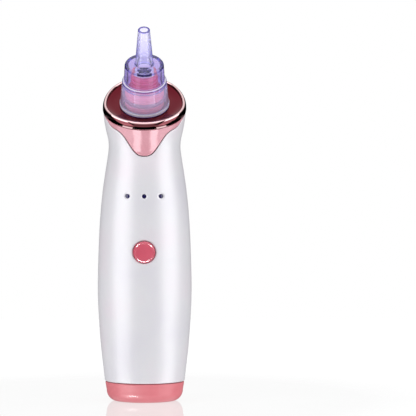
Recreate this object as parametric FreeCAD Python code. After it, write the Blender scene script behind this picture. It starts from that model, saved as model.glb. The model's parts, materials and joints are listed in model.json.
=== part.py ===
import FreeCAD, Part
import math
import os
from FreeCAD import Placement, Rotation, Vector

# Handheld pore vacuum with a clear push-on suction head, in millimetres.
# Frame: origin at the centre of the flat resting face, +Z up the handle, the button and lamps face -Y.
# The handle stands on its cap. Its top is an egg-shaped deck that slopes down towards the front, and
# everything on the deck is built in a deck frame: origin on the suction axis, local Z square to the deck.

# ---------------------------------------------------------------- driving dimensions: handle
WALL = 1.8
SEAM_GAP = 0.22
CAP_TOP = 8.7
SPLIT_Y = 1.2
DECK_Z = 133.7
DECK_TILT = 32.0

# The deck's outline is an egg: two half ovals that meet on its widest line.
WIDE_V = -2.2
DECK_HALF = 18.55
DECK_FRONT = 16.0
DECK_BACK = 21.7

# Handle sections: height of the widest line, half width, depth in front of it and behind it, its Y,
# and the section's tilt about X. The deck closes the list.
STATIONS = [
    (4.0, 17.45, 16.2, 16.2, 0.0, 0.0),
    (CAP_TOP, 17.9, 16.6, 16.6, 0.0, 0.0),
    (21.1, 19.35, 17.9, 17.9, 0.0, 0.0),
    (35.1, 20.5, 19.0, 19.0, 0.0, 0.0),
    (49.1, 21.1, 19.6, 19.6, 0.0, 0.0),
    (61.1, 20.95, 19.5, 19.5, 0.0, 0.0),
    (75.1, 20.45, 19.0, 19.0, 0.0, 0.0),
    (87.1, 19.65, 18.25, 18.25, 0.0, 0.0),
    (97.1, 18.55, 17.4, 17.4, 0.1, 1.5),
    (105.1, 17.35, 16.5, 16.6, 0.4, 5.0),
    (111.6, 16.35, 15.7, 16.1, 0.8, 10.0),
    (115.2, 16.1, 15.35, 16.2, 1.0, 14.0),
    (118.7, 16.5, 15.3, 16.9, 1.0, 18.0),
    (122.0, 17.25, 15.5, 18.1, 0.8, 22.5),
    (125.8, 17.95, 15.8, 19.5, 0.1, 27.0),
    (129.1, 18.35, 16.0, 20.9, -0.8, 30.5),
]
DECK_OVERRUN = 4.0

# Lower edge of the collar's tongue, half of it, seen from the front: distance from the middle, height.
TONGUE = [
    (0.0, 111.1),
    (4.0, 112.5),
    (7.1, 116.6),
    (9.6, 120.2),
    (12.6, 122.6),
    (15.6, 124.9),
    (17.6, 128.9),
    (19.5, 134.5),
]
TONGUE_BACK_Y = -2.0
COLLAR_BAND = -2.1
LEDGE_WIDTH = 5.6

# ---------------------------------------------------------------- driving dimensions: deck and head
RING_PROUD = 0.2
RING_WIDTH = 1.65
RING_LOW = -1.5
RING_TOP = 2.1
DECK_THICK = 1.2
DISH_DEPTH = 1.0
DECK_HOLE_R = 5.6

SKIRT_R = 11.0
SKIRT_TOP_R = 9.95
SKIRT_TOP = 13.1
TIER_R = 9.15
TIER_TOP_R = 8.75
TIER_TOP = 22.0
TUBE_R = 4.1
MOUTH_R = 2.65
MOUTH_BORE_R = 1.9
BORE_START = 26.0
HEAD_TOP = 40.4
HEAD_WALL = 1.1
TIER_WALL = 1.5
SHOULDER = 2.4
HEAD_RIM = 1.45

DRUM_R = 8.3
DRUM_TOP = 9.5
NECK_R = 5.8
NECK_TOP = 17.4
POST_BORE_R = 2.0
BARB_END = -9.5

# ---------------------------------------------------------------- driving dimensions: works
MACHINE_Y = 2.0
MOTOR_LOW = 59.5
MOTOR_TOP = 87.0
MOTOR_R = 12.0
PUMP_R = 12.3
SHAFT_R = 1.0
PIN_TILT = 5.0
PIN_APEX_Z = 103.0
PIN_R = 0.75
CELL_R = 7.1
CELL_LOW = 13.8
CELL_HIGH = 56.3
BOARD_FRONT = -12.0
BOARD_BACK = -10.8
BOARD_HALF = 8.8
BOARD_LOW = 52.0
BOARD_HIGH = 98.5
BUTTON_Z = 68.4
BUTTON_R = 4.9
LAMP_Z = 93.3
LAMP_STEP = 7.5
LAMP_R = 0.95

X_AXIS = Vector(1, 0, 0)
Y_AXIS = Vector(0, 1, 0)
Z_AXIS = Vector(0, 0, 1)
DECK = Placement(Vector(0, 0, DECK_Z), Rotation(X_AXIS, DECK_TILT))
FAR = 60.0


# ---------------------------------------------------------------- helpers
def fuse(shapes):
    whole = shapes[0]
    if len(shapes) > 1:
        whole = shapes[0].multiFuse(shapes[1:])
    return whole.removeSplitter()


def cut(shape, tools):
    for tool in tools:
        shape = shape.cut(tool)
    return shape


def rod(r, low, high, x=0.0, y=0.0):
    """A cylinder along Z between two heights."""
    return Part.makeCylinder(r, high - low, Vector(x, y, low), Z_AXIS)


def rod_y(r, start, end, x, z):
    """A cylinder along Y between two depths."""
    return Part.makeCylinder(r, end - start, Vector(x, start, z), Y_AXIS)


def tube(r_out, r_in, low, high, x=0.0, y=0.0):
    return rod(r_out, low, high, x, y).cut(rod(r_in, low - 1, high + 1, x, y))


def block(x0, x1, y0, y1, z0, z1):
    return Part.makeBox(x1 - x0, y1 - y0, z1 - z0, Vector(x0, y0, z0))


def turned(points):
    """A solid turned about Z from an outline of (radius, height) corners."""
    corners = [Vector(r, 0, z) for r, z in points]
    outline = Part.makePolygon(corners + corners[:1])
    return Part.Face(outline).revolve(Vector(0, 0, 0), Z_AXIS, 360)


def on_deck(shape):
    """Moves a shape from the deck frame to the handle's frame."""
    moved = shape.copy()
    moved.Placement = DECK.multiply(moved.Placement)
    return moved


def on_machine(shape):
    """Moves a shape made round the Z axis onto the motor's axis."""
    moved = shape.copy()
    moved.translate(Vector(0, MACHINE_Y, 0))
    return moved


def around(shape, count, start=0.0):
    """Copies of a shape, evenly turned about the Z axis."""
    copies = []
    for i in range(count):
        one = shape.copy()
        one.rotate(Vector(0, 0, 0), Z_AXIS, start + i * 360.0 / count)
        copies.append(one)
    return copies


def sagging_path(points, bend):
    """Straight runs joined by tangent arcs of one radius."""
    edges = []
    start = points[0]
    for before, corner, after in zip(points, points[1:], points[2:]):
        back = (before - corner).normalize()
        on = (after - corner).normalize()
        half = back.getAngle(on) / 2
        reach = bend / math.tan(half)
        a = corner + back * reach
        b = corner + on * reach
        inward = (back + on).normalize()
        middle = corner + inward * (bend / math.sin(half) - bend)
        edges.append(Part.LineSegment(start, a).toShape())
        edges.append(Part.Arc(a, middle, b).toShape())
        start = b
    edges.append(Part.LineSegment(start, points[-1]).toShape())
    return Part.Wire(edges)


def swept(points, radius, bend):
    path = sagging_path(points, bend)
    along = (points[1] - points[0]).normalize()
    circle = Part.Wire(Part.makeCircle(radius, points[0], along))
    return path.makePipeShell([circle], True, True)


# ---------------------------------------------------------------- the handle's form
def oval(half_width, front, back):
    """Closed outline of two half ovals that share their widest line, on the X axis."""
    halves = []
    for side, depth in ((-1, front), (1, back)):
        arc = Part.Arc(Vector(side * -1, 0, 0), Vector(0, side, 0), Vector(side, 0, 0)).toShape()
        stretch = FreeCAD.Matrix()
        stretch.scale(half_width, depth, 1.0)
        halves.append(arc.transformGeometry(stretch))
    return Part.Wire(halves)


def section(station, inset):
    z, half_width, front, back, y, tilt = station
    outline = oval(half_width - inset, front - inset, back - inset)
    outline.Placement = Placement(Vector(0, y, z), Rotation(X_AXIS, tilt))
    return outline


def deck_section(height, inset):
    """The deck's outline at a height above the deck."""
    wide = DECK.multVec(Vector(0, WIDE_V, height))
    return section((wide.z, DECK_HALF, DECK_FRONT, DECK_BACK, wide.y, DECK_TILT), inset)


def handle_form(inset):
    """The handle's outer form, drawn in by inset all round, running past the deck and into the cap."""
    wires = [section(s, inset) for s in STATIONS]
    wires += [deck_section(height, inset) for height in (0.0, DECK_OVERRUN)]
    return Part.makeLoft(wires, True)


def deck_prism(inset, low, high):
    """A plate of the deck's outline in the deck frame, drawn in by inset."""
    outline = oval(DECK_HALF - inset, DECK_FRONT - inset, DECK_BACK - inset)
    outline.translate(Vector(0, WIDE_V, low))
    return Part.Face(outline).extrude(Vector(0, 0, high - low))


def front_at(x, z):
    """Y of the handle's front surface."""
    probe = Part.makeLine(Vector(x, -FAR, z), Vector(x, 0, z))
    return FORM.common(probe).BoundBox.YMin


def front_normal(x, z):
    """Outward direction of the handle's front surface."""
    across = front_at(x + 0.5, z) - front_at(x - 0.5, z)
    up = front_at(x, z + 0.5) - front_at(x, z - 0.5)
    return Vector(across, -1, up).normalize()


def dimple(x, z, r, sphere_r):
    """A shallow round hollow of radius r in the front surface."""
    lift = math.sqrt(sphere_r**2 - r**2)
    centre = Vector(x, front_at(x, z), z) + front_normal(x, z) * lift
    return Part.makeSphere(sphere_r, centre)


def collar_zone(lower):
    """Everything that belongs to the collar: a band under the ring and the tongue in front."""
    band = on_deck(block(-FAR, FAR, -FAR, FAR, COLLAR_BAND - lower, FAR))
    right = [Vector(x, TONGUE_BACK_Y, z - lower) for x, z in TONGUE]
    left = [Vector(-p.x, p.y, p.z) for p in reversed(right[1:])]
    edge = Part.BSplineCurve()
    edge.interpolate(left + right)
    above = [Vector(x, TONGUE_BACK_Y, DECK_Z + FAR) for x in (FAR, -FAR)]
    sides = Part.makePolygon([right[-1]] + above + [left[0]])
    face = Part.Face(Part.Wire([edge.toShape()] + sides.Edges))
    return band.fuse(face.extrude(Vector(0, -FAR, 0)))


# ---------------------------------------------------------------- casing
def shell_wall():
    return FORM.cut(handle_form(WALL))


def board_boss_places():
    return [(x, z) for x in (-6.3, 6.3) for z in (56.0, 84.0)]


def make_front_shell(wall, zone):
    shell = wall.common(block(-FAR, FAR, -FAR, SPLIT_Y, CAP_TOP + SEAM_GAP, 2 * DECK_Z)).cut(zone)
    bosses = [rod_y(1.9, -17.2, BOARD_FRONT, x, z) for x, z in board_boss_places()]
    shell = shell.fuse([b.common(INSIDE_SKIN) for b in bosses])
    pilots = [rod_y(0.7, -16.2, BOARD_FRONT + 1, x, z) for x, z in board_boss_places()]
    openings = [rod_y(BUTTON_R + 0.15, -FAR, BUTTON_INSIDE, 0, BUTTON_Z)]
    for x in lamp_places():
        openings.append(rod_y(LAMP_R + 0.05, -FAR, -10, x, LAMP_Z))
        openings.append(dimple(x, LAMP_Z, LAMP_R + 0.7, 3.0))
    shell = cut(shell, pilots + openings)
    rim = [e for e in shell.Edges if on_button_rim(e)]
    return shell.makeChamfer(0.6, rim)


def on_button_rim(edge):
    """The outer edge of the button's hole."""
    box = edge.BoundBox
    middle = Vector(box.Center.x, 0, box.Center.z)
    return middle.distanceToPoint(Vector(0, 0, BUTTON_Z)) < 3 and box.YMax < -17.9 and box.XLength > 3


def make_rear_shell(wall, zone):
    return wall.common(block(-FAR, FAR, SPLIT_Y, FAR, CAP_TOP + SEAM_GAP, 2 * DECK_Z)).cut(zone)


def make_top_collar(wall):
    band = wall.common(collar_zone(0.0)).cut(on_deck(block(-FAR, FAR, -FAR, FAR, RING_LOW, FAR)))
    step = RING_WIDTH - RING_PROUD + 0.1
    ledge = deck_prism(step, COLLAR_BAND, -DECK_THICK).cut(deck_prism(LEDGE_WIDTH, COLLAR_BAND - 1, 0))
    return fuse([band, on_deck(ledge)])


def rim_edges(shape, height, inset):
    """Edges of a deck plate that run round at one height and one inset, in the deck frame."""
    found = []
    for edge in shape.Edges:
        level = all(abs(v.Z - height) < 0.01 for v in edge.Vertexes)
        if level and abs(abs(edge.Vertexes[0].X) - DECK_HALF + inset) < 0.01:
            found.append(edge)
    return found


def make_trim_ring():
    """A plated band with a rounded crown."""
    inner = RING_WIDTH - RING_PROUD
    ring = deck_prism(-RING_PROUD, RING_LOW, RING_TOP).cut(deck_prism(inner, RING_LOW - 1, RING_TOP + 1))
    ring = ring.makeFillet(0.9, rim_edges(ring, RING_TOP, -RING_PROUD))
    ring = ring.makeFillet(0.45, rim_edges(ring, RING_TOP, inner))
    return on_deck(ring.makeFillet(0.45, rim_edges(ring, RING_LOW, -RING_PROUD)))


def make_deck_plate():
    """A dished mirror plate: flat in the middle, turned up at the rim, with a hole for the post."""
    edge = RING_WIDTH - RING_PROUD + 0.05
    dish = deck_prism(edge + 0.4, 0, RING_TOP)
    dish = dish.makeFillet(0.8, rim_edges(dish, 0, edge + 0.4))
    plate = deck_prism(edge, -DECK_THICK, DISH_DEPTH).cut(dish)
    return on_deck(plate.cut(rod(DECK_HOLE_R, -5, 5)))


def oval_stack(rows, ruled):
    """A solid through flat ovals of the handle's proportions, from (height, half width) rows."""
    slimness = STATIONS[1][2] / STATIONS[1][1]
    wires = []
    for z, half_width in rows:
        outline = oval(half_width, half_width * slimness, half_width * slimness)
        outline.translate(Vector(0, 0, z))
        wires.append(outline)
    return Part.makeLoft(wires, True, ruled)


FOOT_R = 12.5
FLOOR = 2.0
CAP_R = 17.8
CAP_SHOULDER_R = 17.15
CAP_SHOULDER_Z = 4.9
SPIGOT_R = 15.8
POCKET_X = 6.0
POCKET_Y = 3.6
POCKET_TOP = 5.0
CAP_SCREW_Y = 9.4
BOARD_POST_X = 8.6
INSERT_X = POCKET_X + 0.65
INSERT_Y = POCKET_Y + 0.9
INSERT_GAP = 0.05


def make_bottom_cap():
    """The rounded foot with its spigot, the window for the port insert and the screw bosses."""
    corner = []
    for step in range(7):
        turn = math.radians(15 * step)
        r = FOOT_R + (CAP_SHOULDER_R - FOOT_R) * math.sin(turn)
        corner.append((CAP_SHOULDER_Z * (1 - math.cos(turn)), r))
    foot = oval_stack(corner, False)
    band = oval_stack([(CAP_SHOULDER_Z, CAP_SHOULDER_R), (CAP_TOP, CAP_R)], True)
    spigot = oval_stack([(CAP_SHOULDER_Z + 1, SPIGOT_R), (CAP_TOP + 3.5, SPIGOT_R)], True)
    hollow_rows = [
        (FLOOR, FOOT_R - 0.5),
        (CAP_SHOULDER_Z + 0.6, SPIGOT_R - 1.0),
        (CAP_TOP + 5, SPIGOT_R - 1.0),
    ]
    cap = foot.fuse(band).fuse(spigot).cut(oval_stack(hollow_rows, True))
    screw_bosses = [rod(2.9, 1.0, 7.6, 0, y) for y in (-CAP_SCREW_Y, CAP_SCREW_Y)]
    board_posts = [rod(1.8, 1.0, 10.0, x, 0) for x in (-BOARD_POST_X, BOARD_POST_X)]
    cap = cap.fuse(screw_bosses + board_posts)
    x = INSERT_X + INSERT_GAP
    y = INSERT_Y + INSERT_GAP
    tools = [block(-x, x, -y, y, -1, FLOOR + 1)]
    for y in (-CAP_SCREW_Y, CAP_SCREW_Y):
        tools.append(rod(1.1, -1, 9, 0, y))
        tools.append(rod(2.1, -1, 1.7, 0, y))
    for x in (-BOARD_POST_X, BOARD_POST_X):
        tools.append(rod(0.7, 4.0, 11, x, 0))
    return cut(cap, tools).removeSplitter()


def make_port_insert():
    """The charging plug's pocket: a tub pushed down into the foot's window, with a slot in its ceiling."""
    tub = block(-INSERT_X, INSERT_X, -INSERT_Y, INSERT_Y, 0, POCKET_TOP + 1.2)
    flange = block(-5.0, 5.0, -INSERT_Y - 1.1, INSERT_Y + 1.1, FLOOR, FLOOR + 0.8)
    pocket = block(-POCKET_X, POCKET_X, -POCKET_Y, POCKET_Y, -1, POCKET_TOP)
    upright = [e for e in pocket.Edges if e.BoundBox.ZLength > POCKET_TOP]
    slot = block(-3.95, 3.95, -1.55, 1.55, POCKET_TOP - 1, POCKET_TOP + 3)
    return cut(tub.fuse(flange), [pocket.makeFillet(2.0, upright), slot]).removeSplitter()


# ---------------------------------------------------------------- suction head and post
def make_suction_head():
    """Clear push-on head: tapered skirt, stepped shoulder and a long drawn tube with a round mouth."""
    seat = 0.15
    inner_step = SKIRT_TOP - SHOULDER
    ceiling = TIER_TOP - TIER_WALL
    body = turned(
        [
            (SKIRT_R - 1.15, seat),
            (SKIRT_R + 0.15, seat),
            (SKIRT_R + 0.15, seat + HEAD_RIM - 0.3),
            (SKIRT_R - 0.1, seat + HEAD_RIM),
            (SKIRT_TOP_R, SKIRT_TOP),
            (TIER_R, SKIRT_TOP),
            (TIER_TOP_R, TIER_TOP),
            (TUBE_R, TIER_TOP),
            (MOUTH_R, HEAD_TOP),
            (MOUTH_BORE_R, HEAD_TOP),
            (MOUTH_BORE_R, BORE_START),
            (TUBE_R - 0.95, ceiling),
            (TIER_TOP_R - TIER_WALL, ceiling),
            (TIER_R - TIER_WALL, inner_step),
            (SKIRT_TOP_R - HEAD_WALL, inner_step),
        ]
    )
    soft = {
        (SKIRT_TOP_R, SKIRT_TOP): 0.5,
        (TIER_TOP_R, TIER_TOP): 1.2,
        (TUBE_R, TIER_TOP): 1.0,
        (TIER_R, SKIRT_TOP): 0.3,
    }
    for (r, z), radius in soft.items():
        edges = [e for e in body.Edges if is_ring(e, r, z)]
        body = body.makeFillet(radius, edges)
    lip = [e for e in body.Edges if is_ring(e, MOUTH_R, HEAD_TOP)]
    return on_deck(body.makeFillet(0.3, lip))


def is_ring(edge, r, z):
    return (
        edge.Curve.TypeId == "Part::GeomCircle"
        and abs(edge.Curve.Radius - r) < 0.02
        and abs(edge.Curve.Center.z - z) < 0.02
    )


SEAL_Z = 4.6
GASKET = 0.4


def make_suction_post():
    """Stepped post that the head pushes onto, with ribs, a seal groove, a threaded stub and a hose barb."""
    drum = rod(DRUM_R, GASKET, DRUM_TOP)
    neck = rod(NECK_R, DRUM_TOP, NECK_TOP)
    stub = rod(DECK_HOLE_R - 0.1, -5.0, GASKET)
    barb_edge = [(1.65, BARB_END), (2.1, BARB_END + 1.8), (1.7, BARB_END + 1.8), (1.7, -4.9)]
    barb = turned([(0, BARB_END)] + barb_edge + [(0, -4.9)])
    drum_ribs = [tube(DRUM_R + 0.3, DRUM_R - 0.5, z, z + 0.7) for z in (1.5, 2.8, 6.4, 7.7)]
    neck_ribs = [tube(NECK_R + 0.35, NECK_R - 0.5, z, z + 0.8) for z in (10.8, 12.8, 14.8)]
    post = fuse([drum, neck, stub, barb] + drum_ribs + neck_ribs)
    groove = tube(DRUM_R + 1, DRUM_R - 0.9, SEAL_Z - 0.95, SEAL_Z + 0.95)
    bore = rod(1.0, BARB_END - 1, NECK_TOP + 1)
    well = rod(4.3, NECK_TOP - 4.0, NECK_TOP + 1)
    return on_deck(cut(post, [groove, bore, well, rod(POST_BORE_R, -3, NECK_TOP)]))


def make_head_seal():
    """O-ring in the post's groove."""
    return on_deck(Part.makeTorus(DRUM_R + 0.02, 0.9, Vector(0, 0, SEAL_Z), Z_AXIS))


def make_filter_sponge():
    return on_deck(rod(4.2, NECK_TOP - 3.95, NECK_TOP - 1.2))


def make_filter_grille():
    """Snap-in cross that holds the sponge."""
    rim = tube(4.2, 3.3, NECK_TOP - 1.15, NECK_TOP + 0.5)
    bars = [block(-3.5, 3.5, -0.45, 0.45, NECK_TOP - 1.0, NECK_TOP + 0.3)]
    bars.append(block(-0.45, 0.45, -3.5, 3.5, NECK_TOP - 1.0, NECK_TOP + 0.3))
    return on_deck(fuse([rim] + bars))


def make_post_gasket():
    return on_deck(tube(8.0, DECK_HOLE_R, 0, GASKET))


def make_post_nut():
    """Hexagon nut that clamps the post from under the deck."""
    corners = []
    for i in range(6):
        turn = math.radians(60 * i)
        corners.append(Vector(8.2 * math.cos(turn), 8.2 * math.sin(turn), -4.4))
    face = Part.Face(Part.makePolygon(corners + corners[:1]))
    nut = face.extrude(Vector(0, 0, 4.4 - DECK_THICK))
    return on_deck(nut.cut(rod(DECK_HOLE_R - 0.1, -6, 0)))


# ---------------------------------------------------------------- button and lamps
BUTTON_INSIDE = -10.0
FLANGE_BACK = -15.5
SWITCH_FACE = -14.5
PLUNGER_TIP = -15.1
BUTTON_TRAVEL = 0.5


def lamp_places():
    return [-LAMP_STEP, 0.0, LAMP_STEP]


def make_power_button():
    """Round key with a bevelled rim, a flange behind the shell and a stem to the switch."""
    crown = front_at(0, BUTTON_Z) - 0.65
    key = rod_y(BUTTON_R, crown, FLANGE_BACK - 0.4, 0, BUTTON_Z)
    circles = [e for e in key.Edges if e.Curve.TypeId == "Part::GeomCircle"]
    rim = [e for e in circles if abs(e.Curve.Center.y - crown) < 0.01]
    key = key.makeChamfer(0.55, rim)
    flange = rod_y(6.2, FLANGE_BACK - 0.7, FLANGE_BACK, 0, BUTTON_Z)
    stem = rod_y(1.5, FLANGE_BACK, PLUNGER_TIP, 0, BUTTON_Z)
    return fuse([key, flange, stem])


def make_switch_plunger():
    return rod_y(1.7, PLUNGER_TIP, SWITCH_FACE + 0.6, 0, BUTTON_Z)


def make_switch_body():
    body = block(-3, 3, SWITCH_FACE, BOARD_FRONT, BUTTON_Z - 3, BUTTON_Z + 3)
    return body.cut(rod_y(1.78, SWITCH_FACE - 1, SWITCH_FACE + 1.3, 0, BUTTON_Z))


def make_lamp_lenses():
    """Three round light pipes whose ends follow the handle's surface."""
    lenses = [rod_y(LAMP_R, -FAR, BOARD_FRONT - 1.1, x, LAMP_Z) for x in lamp_places()]
    return Part.makeCompound([lens.common(LENS_SKIN) for lens in lenses])


def make_lamp_chips():
    chips = []
    for x in lamp_places():
        chips.append(block(x - 0.8, x + 0.8, BOARD_FRONT - 0.8, BOARD_FRONT, LAMP_Z - 0.5, LAMP_Z + 0.5))
    return Part.makeCompound(chips)


# ---------------------------------------------------------------- electronics
def make_main_board():
    board = block(-BOARD_HALF, BOARD_HALF, BOARD_FRONT, BOARD_BACK, BOARD_LOW, BOARD_HIGH)
    return cut(board, [rod_y(1.0, BOARD_FRONT - 1, BOARD_BACK + 1, x, z) for x, z in board_boss_places()])


def make_board_chips():
    """Driver, charger, coil and a row of small passives on the board's front."""
    parts = [
        block(-2.5, 2.5, BOARD_FRONT - 1.5, BOARD_FRONT, 76.0, 80.0),
        block(-6.5, -3.5, BOARD_FRONT - 1.2, BOARD_FRONT, 60.0, 64.0),
        rod_y(2.3, BOARD_FRONT - 1.9, BOARD_FRONT, 5.2, 76.5),
    ]
    for i in range(4):
        parts.append(block(3.2 + 1.2 * i, 3.8 + 1.2 * i, BOARD_FRONT - 0.5, BOARD_FRONT, 61.0, 62.2))
    return Part.makeCompound(parts)


def make_board_screws():
    screws = []
    for x, z in board_boss_places():
        head = rod_y(1.6, BOARD_BACK, BOARD_BACK + 0.9, x, z)
        shank = rod_y(0.65, BOARD_FRONT - 3.6, BOARD_BACK, x, z)
        slot = block(x - 1.0, x + 1.0, BOARD_BACK + 0.5, BOARD_BACK + 2, z - 0.2, z + 0.2)
        screws.append(head.fuse(shank).cut(slot))
    return Part.makeCompound(screws)


def make_charge_board():
    board = block(-11.5, 11.5, -6.0, 6.0, 10.0, 11.2)
    holes = [rod(0.9, 9, 12, x, 0) for x in (-BOARD_POST_X, BOARD_POST_X)]
    return cut(board, holes)


def make_charge_board_screws():
    screws = []
    for x in (-BOARD_POST_X, BOARD_POST_X):
        screw = rod(1.5, 11.2, 12.0, x, 0).fuse(rod(0.65, 6.0, 11.2, x, 0))
        screws.append(screw.cut(block(x - 1.0, x + 1.0, -0.2, 0.2, 11.7, 13)))
    return Part.makeCompound(screws)


def make_socket_shell():
    """Sheet metal shell of the charging socket, open downwards."""
    outer = block(-3.8, 3.8, -1.4, 1.4, POCKET_TOP + 0.1, 10.0)
    inner = block(-3.5, 3.5, -1.1, 1.1, POCKET_TOP - 1, 9.4)
    return outer.cut(inner)


def make_socket_tongue():
    blade = block(-2.6, 2.6, -0.35, 0.35, POCKET_TOP + 0.6, 9.4)
    return fuse([blade, block(-3.3, 3.3, -1.0, 1.0, 8.4, 9.4)])


def make_battery_cell():
    can = rod(CELL_R, CELL_LOW, CELL_HIGH - 1.0)
    rims = [e for e in can.Edges if e.Curve.TypeId == "Part::GeomCircle"]
    return can.makeFillet(0.5, rims).fuse(rod(2.6, CELL_HIGH - 1.1, CELL_HIGH))


def make_battery_tabs():
    """Nickel strips on the two ends of the cell."""
    top = block(-2, 2, -6.4, 2, CELL_HIGH, CELL_HIGH + 0.2)
    low = block(-2, 2, -7.0, 2, CELL_LOW - 0.2, CELL_LOW)
    return Part.makeCompound([top, low])


# ---------------------------------------------------------------- motor
def make_motor_can():
    can = rod(MOTOR_R, MOTOR_LOW, MOTOR_TOP)
    holes = [rod(MOTOR_R - 0.8, MOTOR_LOW - 1, MOTOR_TOP - 1.0), rod(3.05, MOTOR_LOW, MOTOR_TOP + 1)]
    holes += [rod(0.95, MOTOR_TOP - 3, MOTOR_TOP + 1, x, 0) for x in (-8, 8)]
    return on_machine(cut(can, holes))


def make_motor_end_cap():
    return on_machine(tube(MOTOR_R - 0.85, 3.05, MOTOR_LOW, MOTOR_LOW + 2.5))


def make_motor_magnets():
    arc = tube(MOTOR_R - 0.85, 8.9, 65.0, 81.0)
    half = arc.common(block(3.0, FAR, -FAR, FAR, 60, 90))
    return on_machine(Part.makeCompound(around(half, 2)))


def make_motor_bushes():
    front = tube(3.0, SHAFT_R + 0.02, MOTOR_TOP - 2.2, MOTOR_TOP + 1.0)
    rear = tube(3.0, SHAFT_R + 0.02, MOTOR_LOW - 0.9, MOTOR_LOW + 2.5)
    return on_machine(Part.makeCompound([front, rear]))


def make_motor_brushes():
    foot = block(-1.2, 1.2, 2.68, 5.2, MOTOR_LOW + 2.5, MOTOR_LOW + 2.8)
    leaf = foot.fuse(block(-1.2, 1.2, 2.68, 2.95, MOTOR_LOW + 2.6, 64.6))
    return on_machine(Part.makeCompound(around(leaf, 2)))


def make_motor_terminals():
    tab = block(6.0, 8.4, -0.25, 0.25, MOTOR_LOW - 2.4, MOTOR_LOW)
    return on_machine(Part.makeCompound(around(tab, 2)))


def make_rotor_shaft():
    return on_machine(rod(SHAFT_R, 58.4, 90.8))


def make_rotor_core():
    """Three-pole stack: a disc with three winding slots."""
    disc = tube(8.4, SHAFT_R, 66.5, 79.0)
    slot = rod(2.6, 60, 90, 6.0, 0).fuse(block(6.0, 9.0, -0.5, 0.5, 60, 90))
    return on_machine(cut(disc, around(slot, 3)))


def make_rotor_windings():
    bundles = around(rod(2.45, 65.2, 80.3, 6.0, 0), 3)
    ends = [tube(8.2, 3.2, 79.0, 80.6), tube(8.2, 3.2, 65.0, 66.5)]
    return on_machine(fuse(bundles + ends))


def make_commutator():
    return on_machine(tube(2.6, SHAFT_R, 62.6, 64.9))


# ---------------------------------------------------------------- pump
PUMP_BASE_TOP = 98.5
MEMBRANE_TOP = 100.3
VALVE_TOP = 102.6
PUMP_TOP = 109.0
PUMP_SCREW_R = 10.95
CUP_R = 5.6
HOSE_Y = 6.0
NIPPLE_TOP = 115.0


def pump_screw_holes(low, high):
    return around(rod(0.9, low, high, PUMP_SCREW_R, 0), 4, 45)


def make_pump_base():
    """Cup that bolts to the motor and holds the crank chamber."""
    cup = rod(PUMP_R, MOTOR_TOP, PUMP_BASE_TOP).cut(rod(9.6, MOTOR_TOP + 1.2, PUMP_BASE_TOP + 1))
    tools = [rod(3.1, MOTOR_TOP - 1, MOTOR_TOP + 2)] + pump_screw_holes(MOTOR_TOP + 3, PUMP_BASE_TOP + 1)
    tools += [rod(1.0, MOTOR_TOP - 1, MOTOR_TOP + 2, x, 0) for x in (-8, 8)]
    return on_machine(cut(cup, tools))


def make_motor_screws():
    screws = []
    for x in (-8, 8):
        head = rod(1.45, MOTOR_TOP + 1.2, MOTOR_TOP + 2.2, x, 0)
        screws.append(head.fuse(rod(0.9, MOTOR_TOP - 1.8, MOTOR_TOP + 1.2, x, 0)))
    return on_machine(Part.makeCompound(screws))


def pin_frame(shape):
    """Leans a shape built along Z so that its axis becomes the drive pin's, through the apex."""
    moved = shape.copy()
    moved.rotate(Vector(0, 0, PIN_APEX_Z), Y_AXIS, -PIN_TILT)
    return on_machine(moved)


def make_crank():
    """Eccentric on the shaft, with a leaning hole for the drive pin."""
    hub = tube(3.6, SHAFT_R, 88.7, 90.8).fuse(rod(3.6, 90.8, 94.0))
    return on_machine(hub).cut(pin_frame(rod(0.8, 91.1, 96)))


def make_drive_pin():
    return pin_frame(rod(PIN_R, 91.3, 97.6))


def make_wobble_plate():
    """Three-armed plate on the drive pin; its arms push the membrane's cups in turn."""
    hub = rod(2.6, 94.9, 97.0)
    arm = block(0, CUP_R, -1.1, 1.1, 95.3, 96.7).fuse(rod(1.9, 95.3, 96.7, CUP_R, 0))
    return pin_frame(fuse([hub] + around(arm, 3)).cut(rod(PIN_R + 0.03, 90, 99)))


def make_membrane():
    """Rubber sheet with three cups."""
    sheet = rod(PUMP_R, PUMP_BASE_TOP, MEMBRANE_TOP)
    cups = around(rod(2.7, PUMP_BASE_TOP - 0.5, PUMP_BASE_TOP + 0.5, CUP_R, 0), 3)
    hollows = around(rod(2.1, PUMP_BASE_TOP - 0.1, MEMBRANE_TOP + 1, CUP_R, 0), 3)
    return on_machine(cut(fuse([sheet] + cups), hollows + pump_screw_holes(90, 110)))


def make_valve_plate():
    plate = rod(PUMP_R, MEMBRANE_TOP, VALVE_TOP)
    ports = around(rod(0.5, 90, 110, CUP_R - 1, 0), 3) + around(rod(0.5, 90, 110, CUP_R + 1, 0), 3)
    return on_machine(cut(plate, ports + pump_screw_holes(90, 110)))


def make_valve_flaps():
    return on_machine(Part.makeCompound(around(rod(1.9, VALVE_TOP, VALVE_TOP + 0.4, CUP_R, 0), 3)))


def make_pump_cover():
    """Head with the suction nipple and the exhaust nipple."""
    cover = rod(PUMP_R, VALVE_TOP, PUMP_TOP).cut(rod(8.9, VALVE_TOP - 1, PUMP_TOP - 1.8))
    nipple = rod(1.7, PUMP_TOP - 1, NIPPLE_TOP, 0, HOSE_Y)
    exhaust = rod(1.4, PUMP_TOP - 1, PUMP_TOP + 3, 0, -5.0)
    holes = [rod(1.0, 100, 120, 0, HOSE_Y), rod(0.8, 100, 120, 0, -5.0)]
    return on_machine(cut(fuse([cover, nipple, exhaust]), holes + pump_screw_holes(90, 120)))


def make_pump_screws():
    head = rod(1.25, PUMP_TOP, PUMP_TOP + 1.1, PUMP_SCREW_R, 0)
    screw = head.fuse(rod(0.85, MOTOR_TOP + 4, PUMP_TOP, PUMP_SCREW_R, 0))
    slot = block(PUMP_SCREW_R - 1, PUMP_SCREW_R + 1, -0.15, 0.15, PUMP_TOP + 0.7, PUMP_TOP + 2)
    return on_machine(Part.makeCompound(around(screw.cut(slot), 4, 45)))


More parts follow.
